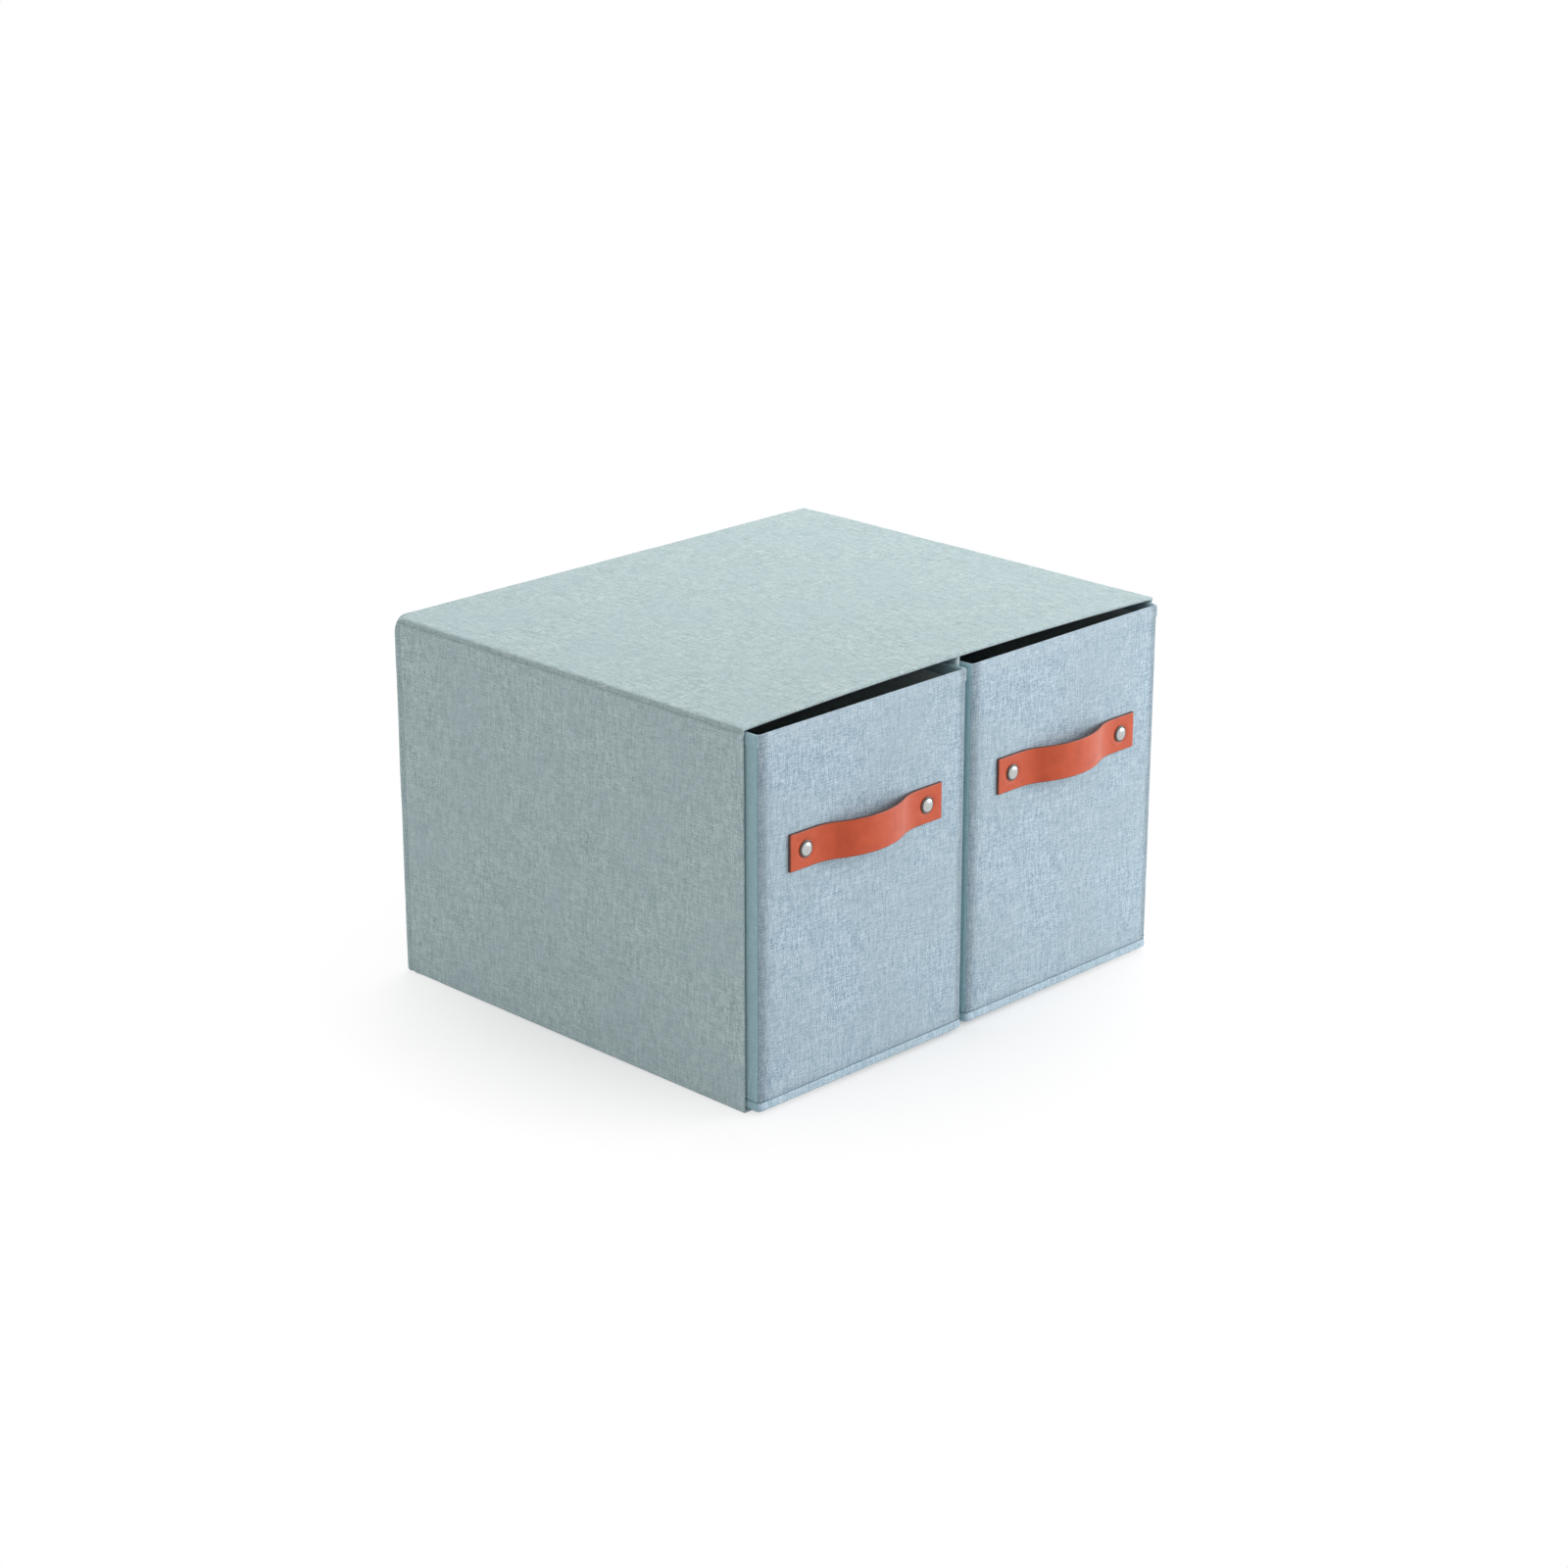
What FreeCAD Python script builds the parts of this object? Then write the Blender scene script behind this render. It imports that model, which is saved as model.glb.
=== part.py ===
"""File box with two drawers: a cloth-covered board sleeve, open at the front, with two
open-top board drawers side by side in it, each pulled by a riveted leather strap.

Millimetres, +Z up. The origin is the middle of the underside of the sleeve, the drawers open
towards -Y and +X is to the right of somebody who faces them.
"""
import FreeCAD, Part
import os
import Sketcher
from FreeCAD import Placement, Rotation, Vector

DRIVING_SIZES = {
    # the sleeve
    "sleeve_width": 380.0,
    "sleeve_depth": 322.0,
    "sleeve_height": 248.0,
    "cloth": 0.5,                  # cover cloth of the sleeve and of the drawers
    "board": 1.5,                  # greyboard between cover and lining
    "liner": 0.3,                  # inner lining of the sleeve and of the drawers
    "fold_radius": 2.4,            # cover cloth round the long edges of the sleeve
    "roof_crown": 3.5,             # rise of the roof's front edge above a flat roof
    "roof_skirt": 3.6,             # how far the roof cloth comes down the sides
    "back_wrap": 5.5,              # how far the back cloth comes round the sides
    "seam": 0.2,                   # open width of a sewn seam
    "divider_board": 3.0,
    "divider_cloth": 0.5,
    "divider_setback": 1.0,        # divider behind the sleeve's front edge
    "divider_play": 0.1,           # divider under the roof lining
    # the drawers
    "drawer_width": 183.6,
    "drawer_length": 317.0,
    "drawer_height": 242.3,
    "drawer_corner": 3.8,          # outer radius of the upright corners
    "base_round": 1.5,             # outer rounding under the drawer
    "base_band": 6.0,              # height of the base cloth's turned-up band
    "band_seam": 0.4,              # seam between the base band and the wall cloth
    "rim_tape": 0.5,               # thickness of the rim binding
    "rim_height": 8.0,             # how far the rim binding comes down
    "rim_round": 0.4,
    "drawer_inset": 3.2,           # outer face of a drawer from the sleeve's outer face
    "left_drawer_pull": 10.0,      # drawer front ahead of the sleeve's front edge
    "right_drawer_pull": 7.5,
    "slide_gap": 0.2,              # under the drawers
    # the strap handles
    "strap_length": 134.0,
    "strap_width": 24.0,
    "strap_thickness": 2.2,
    "strap_foot": 20.5,            # flat end of the strap
    "strap_bow": 11.0,             # finger gap at the middle of the strap
    "strap_bend": 36.0,            # radius where the strap leaves its foot, on the drawer side
    "strap_level": 162.5,          # middle of the strap above the drawer's underside
    "rivet_spacing": 107.0,
    "rivet_head_radius": 5.5,
    "rivet_head_rim": 0.5,
    "rivet_head_dome": 1.3,        # rise of the dome above its rim
    "rivet_stem_radius": 2.0,
    "rivet_hole_radius": 2.15,
    "rivet_grip": 0.8,             # stem inside the back cap
    "rivet_back_radius": 5.0,
    "rivet_back_height": 1.4,
}

document = FreeCAD.newDocument("FileBox")
sheet = document.addObject("Spreadsheet::Sheet", "Sizes")


class Size:
    """A length in millimetres that also knows the spreadsheet formula it comes from."""

    def __init__(self, value, formula):
        self.value = value
        self.formula = formula

    @staticmethod
    def of(other):
        return other if isinstance(other, Size) else Size(float(other), repr(other))

    def _join(self, other, sign, value):
        return Size(value, f"({self.formula} {sign} {other.formula})")

    def __add__(self, other):
        other = Size.of(other)
        return self._join(other, "+", self.value + other.value)

    def __sub__(self, other):
        other = Size.of(other)
        return self._join(other, "-", self.value - other.value)

    def __mul__(self, other):
        other = Size.of(other)
        return self._join(other, "*", self.value * other.value)

    def __truediv__(self, other):
        other = Size.of(other)
        return self._join(other, "/", self.value / other.value)

    def __neg__(self):
        return Size(-self.value, f"(0 - {self.formula})")


def fill_sheet():
    """Write each driving size to a cell of its own, beside its name."""
    for row, (name, value) in enumerate(DRIVING_SIZES.items(), start=1):
        sheet.set(f"A{row}", name)
        sheet.set(f"B{row}", str(value))
        sheet.setAlias(f"B{row}", name)
    document.recompute()


def size(name):
    """The driving size with that name."""
    return Size(DRIVING_SIZES[name], f"Sizes.{name}")


ZERO = Size(0.0, "0")


def bind(item, prop, length):
    """Set a property of an object from a size and bind it to the sheet."""
    item.setExpression(prop, Size.of(length).formula)


def place(item, x=ZERO, y=ZERO, z=ZERO):
    """Bind the position of an object."""
    for axis, length in (("x", x), ("y", y), ("z", z)):
        bind(item, f"Placement.Base.{axis}", length)


# ---------------------------------------------------------------- sketches and features

def new_body(label):
    body = document.addObject("PartDesign::Body", label)
    body.Label = label
    return body


def origin_feature(body, role):
    return next(feature for feature in body.Origin.OriginFeatures if feature.Role == role)


def new_sketch(body, plane, offset=ZERO):
    """A sketch on one of the body's own origin planes, moved along the plane's normal."""
    sketch = body.newObject("Sketcher::SketchObject", "Sketch")
    sketch.AttachmentSupport = (origin_feature(body, plane), "")
    sketch.MapMode = "FlatFace"
    bind(sketch, "AttachmentOffset.Base.z", offset)
    return sketch


def pin_point(sketch, geometry, end, x, y):
    """Fix one end of a line or arc at a place given by two sizes."""
    for kind, length in (("DistanceX", x), ("DistanceY", y)):
        index = sketch.addConstraint(
            Sketcher.Constraint(kind, -1, 1, geometry, end, length.value))
        bind(sketch, f"Constraints[{index}]", length)


def arc_between(start, end, radius, left):
    """The arc of less than half a turn from start to end that curves to its left or right."""
    first = Vector(start[0].value, start[1].value, 0)
    last = Vector(end[0].value, end[1].value, 0)
    chord = last - first
    rise = (radius.value ** 2 - (chord.Length / 2) ** 2) ** 0.5
    normal = Vector(-chord.y, chord.x, 0).normalize()
    centre = (first + last) / 2 + normal * (rise if left else -rise)
    middle = centre - normal * (radius.value if left else -radius.value)
    return Part.Arc(first, middle, last)


def draw_outline(sketch, corners):
    """Draw a closed outline.

    Each corner is (x, y, radius, left): its place, and the radius and turning side of the arc
    that goes on to the next corner. The radius is None where a straight line goes on.
    """
    first = None
    previous = None
    for index, (x, y, radius, left) in enumerate(corners):
        next_x, next_y = corners[(index + 1) % len(corners)][:2]
        if radius is None:
            edge = Part.LineSegment(Vector(x.value, y.value, 0),
                                    Vector(next_x.value, next_y.value, 0))
            start, end = 1, 2
        else:
            edge = arc_between((x, y), (next_x, next_y), radius, left)
            # an arc is stored counter-clockwise, so one that turns right has its ends swapped
            start, end = (1, 2) if left else (2, 1)
        geometry = sketch.addGeometry(edge, False)
        pin_point(sketch, geometry, start, x, y)
        if radius is not None:
            constraint = sketch.addConstraint(
                Sketcher.Constraint("Radius", geometry, radius.value))
            bind(sketch, f"Constraints[{constraint}]", radius)
        if previous is not None:
            sketch.addConstraint(
                Sketcher.Constraint("Coincident", previous[0], previous[1], geometry, start))
        else:
            first = (geometry, start)
        previous = (geometry, end)
    sketch.addConstraint(
        Sketcher.Constraint("Coincident", previous[0], previous[1], first[0], first[1]))


def rectangle(left, right, low, high):
    """Corners of a plain rectangle."""
    return [(left, low, None, True), (right, low, None, True),
            (right, high, None, True), (left, high, None, True)]


def rounded_rectangle(left, right, low, high, radius):
    """Corners of a rectangle with four equal round corners."""
    return [(left + radius, low, None, True), (right - radius, low, radius, True),
            (right, low + radius, None, True), (right, high - radius, radius, True),
            (right - radius, high, None, True), (left + radius, high, radius, True),
            (left, high - radius, None, True), (left, low + radius, radius, True)]


def draw_circle(sketch, x, y, radius):
    geometry = sketch.addGeometry(
        Part.Circle(Vector(x.value, y.value, 0), Vector(0, 0, 1), radius.value), False)
    pin_point(sketch, geometry, 3, x, y)
    index = sketch.addConstraint(Sketcher.Constraint("Radius", geometry, radius.value))
    bind(sketch, f"Constraints[{index}]", radius)


def pad(body, sketch, length, backwards=False, both_ways=False):
    """Extrude a sketch by a length, and give the new feature."""
    feature = body.newObject("PartDesign::Pad", "Pad")
    feature.Profile = sketch
    bind(feature, "Length", length)
    feature.Reversed = backwards
    feature.Midplane = both_ways
    body.Tip = feature
    document.recompute()
    return feature


def pocket(body, sketch, length, backwards=False):
    """Cut a sketch into the body by a length, and make sure that it takes something away."""
    before = body.Shape.Volume
    feature = body.newObject("PartDesign::Pocket", "Pocket")
    feature.Profile = sketch
    bind(feature, "Length", length)
    feature.Reversed = backwards
    body.Tip = feature
    document.recompute()
    if body.Shape.Volume >= before - 1e-3:
        raise RuntimeError(f"{body.Label}: a pocket cuts nothing")
    return feature


def round_edges(body, radius, wanted):
    """Fillet each edge of the body's tip for which wanted(edge) is true."""
    base = body.Tip
    names = [f"Edge{number}" for number, edge in enumerate(base.Shape.Edges, start=1)
             if wanted(edge)]
    if not names:
        raise RuntimeError(f"{body.Label}: no edges to round")
    feature = body.newObject("PartDesign::Fillet", "Fillet")
    feature.Base = (base, names)
    bind(feature, "Radius", radius)
    body.Tip = feature
    document.recompute()
    return feature


def lies_at(edge, axis, value):
    """Whether the whole edge lies in the plane where that axis has that value."""
    box = edge.BoundBox
    low, high = {"x": (box.XMin, box.XMax), "y": (box.YMin, box.YMax),
                 "z": (box.ZMin, box.ZMax)}[axis]
    return abs(low - value) < 1e-3 and abs(high - value) < 1e-3


def new_box(label, x, y, z):
    """A plain board between two planes along each axis, each given as (low, high)."""
    box = document.addObject("Part::Box", label)
    box.Label = label
    for prop, (low, high) in (("Length", x), ("Width", y), ("Height", z)):
        bind(box, prop, high - low)
    place(box, x[0], y[0], z[0])
    return box


# ---------------------------------------------------------------- sizes that follow

fill_sheet()

HALF_WIDTH = size("sleeve_width") / 2
HALF_DEPTH = size("sleeve_depth") / 2
HEIGHT = size("sleeve_height")
CLOTH = size("cloth")
BOARD = size("board")
LINER = size("liner")
WALL = CLOTH + BOARD + LINER                 # whole wall of the sleeve or of a drawer
CORE = CLOTH + BOARD                         # cover and board, without the lining
FOLD = size("fold_radius")
FLAT_HALF_WIDTH = HALF_WIDTH - FOLD          # the roof between its two long folds
CROWN = size("roof_crown")
CROWN_RADIUS = (FLAT_HALF_WIDTH * FLAT_HALF_WIDTH + CROWN * CROWN) / (CROWN * 2)
SEAM = size("seam")
FRONT = -HALF_DEPTH
INNER_FRONT = FRONT + CLOTH
INNER_BACK = HALF_DEPTH - CLOTH
ROOF_UNDERSIDE = HEIGHT - WALL


# ---------------------------------------------------------------- the sleeve

def crowned_slab(body, low, high, front, back):
    """Loft a roof layer between two levels, crowned at the front and flat at the back."""
    sketches = []
    for y, crowned in ((front, True), (back, False)):
        sketch = new_sketch(body, "XZ_Plane", -y)
        radius = CROWN_RADIUS if crowned else None
        draw_outline(sketch, [
            (-FLAT_HALF_WIDTH, low, radius, False), (FLAT_HALF_WIDTH, low, None, True),
            (FLAT_HALF_WIDTH, high, radius, True), (-FLAT_HALF_WIDTH, high, None, True)])
        sketches.append(sketch)
    document.recompute()
    loft = body.newObject("PartDesign::AdditiveLoft", "Loft")
    loft.Profile = sketches[0]
    loft.Sections = sketches[1:]
    loft.Ruled = True
    body.Tip = loft
    document.recompute()


def roof_section(outer_side, side_foot, top, round_radius, underside, crowned):
    """Section of the roof cloth: two long folds, two skirts and the roof between them."""
    radius = CROWN_RADIUS if crowned else None
    shoulder = top - round_radius
    inner_side = HALF_WIDTH - CLOTH
    return [
        (-outer_side, shoulder, None, True),
        (-outer_side, side_foot, None, True),
        (-inner_side, side_foot, None, True),
        (-inner_side, underside, None, True),
        (-FLAT_HALF_WIDTH, underside, radius, False),
        (FLAT_HALF_WIDTH, underside, None, True),
        (inner_side, underside, None, True),
        (inner_side, side_foot, None, True),
        (outer_side, side_foot, None, True),
        (outer_side, shoulder, round_radius, True),
        (FLAT_HALF_WIDTH, top, radius, True),
        (-FLAT_HALF_WIDTH, top, round_radius, True),
    ]


def make_roof_cover():
    """Cloth over the roof, folded down both long edges, the front edge and the back edge."""
    body = new_body("sleeve_roof_cover")
    skirt_foot = HEIGHT - size("roof_skirt")
    sketches = []
    for y, crowned in ((FRONT, True), (HALF_DEPTH, False)):
        sketch = new_sketch(body, "XZ_Plane", -y)
        draw_outline(sketch, roof_section(HALF_WIDTH, skirt_foot, HEIGHT, FOLD,
                                          ROOF_UNDERSIDE, crowned))
        sketches.append(sketch)
    document.recompute()
    solid = body.newObject("PartDesign::AdditiveLoft", "Loft")
    solid.Profile = sketches[0]
    solid.Sections = sketches[1:]
    solid.Ruled = True
    body.Tip = solid
    document.recompute()

    # the rear skirt runs up into the roof cloth, so that the two join all along
    rear_skirt = new_sketch(body, "XZ_Plane", -HALF_DEPTH)
    inner_side = HALF_WIDTH - CLOTH
    draw_outline(rear_skirt, rectangle(-inner_side, inner_side, skirt_foot,
                                       ROOF_UNDERSIDE + LINER))
    pad(body, rear_skirt, CLOTH)

    hollow = []
    inner_radius = FOLD - CLOTH
    top = HEIGHT - CLOTH
    floor = skirt_foot - 1
    for y, crowned in ((INNER_FRONT, True), (INNER_BACK, False)):
        sketch = new_sketch(body, "XZ_Plane", -y)
        radius = CROWN_RADIUS if crowned else None
        draw_outline(sketch, [
            (-inner_side, floor, None, True),
            (inner_side, floor, None, True),
            (inner_side, top - inner_radius, inner_radius, True),
            (FLAT_HALF_WIDTH, top, radius, True),
            (-FLAT_HALF_WIDTH, top, inner_radius, True),
            (-inner_side, top - inner_radius, None, True)])
        hollow.append(sketch)
    document.recompute()
    cut = body.newObject("PartDesign::SubtractiveLoft", "Hollow")
    cut.Profile = hollow[0]
    cut.Sections = hollow[1:]
    cut.Ruled = True
    body.Tip = cut
    document.recompute()
    return body


def make_side_cover(label, side):
    """Cloth on one side wall, turned in over the front edges of the board and the lining."""
    body = new_body(label)
    outer = HALF_WIDTH * side
    sheet_inner = (HALF_WIDTH - CLOTH) * side
    lip_inner = (HALF_WIDTH - WALL) * side
    rear = HALF_DEPTH - size("back_wrap") - SEAM
    low_x, high_x = sorted((outer, sheet_inner), key=lambda length: length.value)
    sketch = new_sketch(body, "XY_Plane", CLOTH)
    draw_outline(sketch, rectangle(low_x, high_x, FRONT, rear))
    pad(body, sketch, HEIGHT - size("roof_skirt") - SEAM - CLOTH)
    low_x, high_x = sorted((sheet_inner, lip_inner), key=lambda length: length.value)
    sketch = new_sketch(body, "XY_Plane", CLOTH)
    draw_outline(sketch, rectangle(low_x, high_x, FRONT, INNER_FRONT))
    pad(body, sketch, ROOF_UNDERSIDE - CLOTH)
    return body


def make_back_cover():
    """Cloth on the back wall, wrapped round both upright back edges to a seam."""
    body = new_body("sleeve_back_cover")
    inner_side = HALF_WIDTH - CLOTH
    inner_radius = FOLD - CLOTH
    start = HALF_DEPTH - size("back_wrap")
    shoulder = HALF_DEPTH - FOLD
    sketch = new_sketch(body, "XY_Plane", CLOTH)
    draw_outline(sketch, [
        (HALF_WIDTH, start, None, True),
        (HALF_WIDTH, shoulder, FOLD, True),
        (FLAT_HALF_WIDTH, HALF_DEPTH, None, True),
        (-FLAT_HALF_WIDTH, HALF_DEPTH, FOLD, True),
        (-HALF_WIDTH, shoulder, None, True),
        (-HALF_WIDTH, start, None, True),
        (-inner_side, start, None, True),
        (-inner_side, shoulder, inner_radius, False),
        (-FLAT_HALF_WIDTH, INNER_BACK, None, True),
        (FLAT_HALF_WIDTH, INNER_BACK, inner_radius, False),
        (inner_side, shoulder, None, True),
        (inner_side, start, None, True)])
    pad(body, sketch, HEIGHT - size("roof_skirt") - SEAM - CLOTH)
    return body


def make_base_cloth():
    """Cloth under the sleeve, turned up over the front edge of the base board."""
    body = new_body("sleeve_base_cloth")
    sketch = new_sketch(body, "XY_Plane")
    draw_outline(sketch, [
        (-HALF_WIDTH, FRONT, None, True),
        (HALF_WIDTH, FRONT, None, True),
        (HALF_WIDTH, HALF_DEPTH - FOLD, FOLD, True),
        (FLAT_HALF_WIDTH, HALF_DEPTH, None, True),
        (-FLAT_HALF_WIDTH, HALF_DEPTH, FOLD, True),
        (-HALF_WIDTH, HALF_DEPTH - FOLD, None, True)])
    pad(body, sketch, CLOTH)
    lip_half_width = HALF_WIDTH - WALL
    sketch = new_sketch(body, "XY_Plane", CLOTH)
    draw_outline(sketch, rectangle(-lip_half_width, lip_half_width, FRONT, INNER_FRONT))
    pad(body, sketch, WALL - CLOTH)
    return body


def make_wall_lining():
    """One folded sheet that lines the floor, both sides and the back of the sleeve."""
    body = new_body("sleeve_wall_lining")
    outer_half = HALF_WIDTH - CORE
    inner_half = HALF_WIDTH - WALL
    outer_back = HALF_DEPTH - CORE
    inner_back = HALF_DEPTH - WALL
    sketch = new_sketch(body, "XY_Plane", CORE)
    draw_outline(sketch, rectangle(-outer_half, outer_half, INNER_FRONT, outer_back))
    pad(body, sketch, LINER)
    sketch = new_sketch(body, "XY_Plane", WALL)
    draw_outline(sketch, [
        (-outer_half, INNER_FRONT, None, True),
        (-inner_half, INNER_FRONT, None, True),
        (-inner_half, inner_back, None, True),
        (inner_half, inner_back, None, True),
        (inner_half, INNER_FRONT, None, True),
        (outer_half, INNER_FRONT, None, True),
        (outer_half, outer_back, None, True),
        (-outer_half, outer_back, None, True)])
    pad(body, sketch, ROOF_UNDERSIDE - WALL)
    return body


def crown_at(y):
    """Rise of the roof's middle at a depth: full at the front, none at the back."""
    return CROWN * (HALF_DEPTH - y) / size("sleeve_depth")


def divider_outline(front, back):
    """Side view of the divider or its cloth, with the top following the crowned roof."""
    top = ROOF_UNDERSIDE - size("divider_play")
    return [(front, WALL, None, True), (back, WALL, None, True),
            (back, top + crown_at(back), None, True),
            (front, top + crown_at(front), None, True)]


def make_divider():
    """Upright board between the two drawers, and the cloth wrapped round its front edge."""
    back = HALF_DEPTH - WALL
    cloth_front = FRONT + size("divider_setback")
    board_front = cloth_front + size("divider_cloth")
    whole = size("divider_board") + size("divider_cloth") * 2

    board = new_body("sleeve_divider_board")
    sketch = new_sketch(board, "YZ_Plane")
    draw_outline(sketch, divider_outline(board_front, back))
    pad(board, sketch, size("divider_board"), both_ways=True)

    wrap = new_body("sleeve_divider_cloth")
    sketch = new_sketch(wrap, "YZ_Plane")
    draw_outline(sketch, divider_outline(cloth_front, back))
    pad(wrap, sketch, whole, both_ways=True)
    half_board = size("divider_board") / 2
    slot = new_sketch(wrap, "XY_Plane")
    draw_outline(slot, rectangle(-half_board, half_board, board_front, back + 1))
    pocket(wrap, slot, HEIGHT * 2, backwards=True)
    return [board, wrap]


def make_sleeve():
    """Every piece of the sleeve."""
    inner_half = HALF_WIDTH - CORE
    inner_back = HALF_DEPTH - CORE
    board_top = ROOF_UNDERSIDE

    roof_board = new_body("sleeve_roof_board")
    crowned_slab(roof_board, HEIGHT - CORE, HEIGHT - CLOTH, INNER_FRONT, INNER_BACK)
    roof_lining = new_body("sleeve_roof_lining")
    crowned_slab(roof_lining, ROOF_UNDERSIDE, HEIGHT - CORE, INNER_FRONT, INNER_BACK)

    outer = HALF_WIDTH - CLOTH
    side_back = HALF_DEPTH - FOLD
    pieces = [
        roof_board,
        roof_lining,
        make_roof_cover(),
        make_side_cover("sleeve_left_cover", -1),
        make_side_cover("sleeve_right_cover", 1),
        make_back_cover(),
        make_base_cloth(),
        make_wall_lining(),
        new_box("sleeve_left_board", (-outer, -inner_half),
                (INNER_FRONT, side_back), (CLOTH, board_top)),
        new_box("sleeve_right_board", (inner_half, outer),
                (INNER_FRONT, side_back), (CLOTH, board_top)),
        new_box("sleeve_back_board", (-FLAT_HALF_WIDTH, FLAT_HALF_WIDTH),
                (inner_back, INNER_BACK), (CLOTH, board_top)),
        new_box("sleeve_base_board", (-inner_half, inner_half),
                (INNER_FRONT, inner_back), (CLOTH, CORE)),
    ]
    return pieces + make_divider()


# ---------------------------------------------------------------- a drawer
# A drawer is drawn in its own frame: x = 0 at its middle, y = 0 at its front face, z = 0 under it.

DRAWER_HALF_WIDTH = size("drawer_width") / 2
DRAWER_LENGTH = size("drawer_length")
DRAWER_CORNER = size("drawer_corner")
RIM_TAPE = size("rim_tape")
DRAWER_TOP = size("drawer_height")
WALL_TOP = DRAWER_TOP - RIM_TAPE
STRAP_LEVEL = size("strap_level")
RIVET_SIDE = size("rivet_spacing") / 2


def drawer_ring(inset):
    """Outline of the drawer in plan, moved in from its outer face by a distance."""
    return rounded_rectangle(-(DRAWER_HALF_WIDTH - inset), DRAWER_HALF_WIDTH - inset,
                             inset, DRAWER_LENGTH - inset, DRAWER_CORNER - inset)


def drill_rivet_holes(body):
    """Two holes through whatever the body has near the drawer's front face."""
    sketch = new_sketch(body, "XZ_Plane", size("strap_thickness") + 1)
    for side in (-1, 1):
        draw_circle(sketch, RIVET_SIDE * side, STRAP_LEVEL, size("rivet_hole_radius"))
    pocket(body, sketch, size("strap_thickness") + WALL + 2)


def make_wall_cloth(name):
    """Cover cloth round the four walls, from the base seam to the rim."""
    body = new_body(f"{name}_wall_cloth")
    low = size("base_band") + size("band_seam")
    sketch = new_sketch(body, "XY_Plane", low)
    draw_outline(sketch, drawer_ring(ZERO))
    draw_outline(sketch, drawer_ring(CLOTH))
    pad(body, sketch, WALL_TOP - low)
    drill_rivet_holes(body)
    return body


def make_base_tray(name):
    """Cloth under the drawer with its edge turned up to the base seam."""
    body = new_body(f"{name}_base_cloth")
    sketch = new_sketch(body, "XY_Plane")
    draw_outline(sketch, drawer_ring(ZERO))
    pad(body, sketch, size("base_band"))
    round_edges(body, size("base_round"), lambda edge: lies_at(edge, "z", 0.0))
    sketch = new_sketch(body, "XY_Plane", size("base_band"))
    draw_outline(sketch, drawer_ring(CLOTH))
    pocket(body, sketch, size("base_band") - CLOTH)
    return body


def make_rim_binding(name):
    """Cloth tape folded over the top edge of all four walls."""
    body = new_body(f"{name}_rim_binding")
    low = DRAWER_TOP - size("rim_height")
    sketch = new_sketch(body, "XY_Plane", low)
    draw_outline(sketch, drawer_ring(-RIM_TAPE))
    draw_outline(sketch, drawer_ring(WALL + RIM_TAPE))
    pad(body, sketch, size("rim_height"))
    round_edges(body, size("rim_round"), lambda edge: lies_at(edge, "z", DRAWER_TOP.value))
    sketch = new_sketch(body, "XY_Plane", low)
    draw_outline(sketch, drawer_ring(ZERO))
    draw_outline(sketch, drawer_ring(WALL))
    pocket(body, sketch, size("rim_height") - RIM_TAPE, backwards=True)
    return body


def make_drawer_lining(name):
    """Lining of the floor and the four walls."""
    body = new_body(f"{name}_lining")
    sketch = new_sketch(body, "XY_Plane", CORE)
    draw_outline(sketch, drawer_ring(CORE))
    pad(body, sketch, WALL_TOP - CORE)
    sketch = new_sketch(body, "XY_Plane", WALL_TOP)
    draw_outline(sketch, drawer_ring(WALL))
    pocket(body, sketch, WALL_TOP - WALL)
    drill_rivet_holes(body)
    return body


def make_front_board(name):
    """Greyboard behind the front cloth, drilled for the rivets."""
    body = new_body(f"{name}_front_board")
    half = DRAWER_HALF_WIDTH - DRAWER_CORNER
    sketch = new_sketch(body, "XY_Plane", CORE)
    draw_outline(sketch, rectangle(-half, half, CLOTH, CORE))
    pad(body, sketch, WALL_TOP - CORE)
    drill_rivet_holes(body)
    return body


def make_side_board(label, side):
    """Greyboard of one side wall, bent round both corners to meet the front and back boards."""
    body = new_body(label)
    straight = (DRAWER_HALF_WIDTH - DRAWER_CORNER) * side
    outer = (DRAWER_HALF_WIDTH - CLOTH) * side
    inner = (DRAWER_HALF_WIDTH - CORE) * side
    rear = DRAWER_LENGTH - DRAWER_CORNER
    outer_radius = DRAWER_CORNER - CLOTH
    inner_radius = DRAWER_CORNER - CORE
    outwards = side > 0
    sketch = new_sketch(body, "XY_Plane", CORE)
    draw_outline(sketch, [
        (straight, CLOTH, outer_radius, outwards),
        (outer, DRAWER_CORNER, None, True),
        (outer, rear, outer_radius, outwards),
        (straight, DRAWER_LENGTH - CLOTH, None, True),
        (straight, DRAWER_LENGTH - CORE, inner_radius, not outwards),
        (inner, rear, None, True),
        (inner, DRAWER_CORNER, inner_radius, not outwards),
        (straight, CORE, None, True)])
    pad(body, sketch, WALL_TOP - CORE)
    return body


def make_base_board(name):
    """Greyboard on the base cloth, under the four walls."""
    body = new_body(f"{name}_base_board")
    sketch = new_sketch(body, "XY_Plane", CLOTH)
    draw_outline(sketch, drawer_ring(CLOTH))
    pad(body, sketch, BOARD)
    return body


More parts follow.
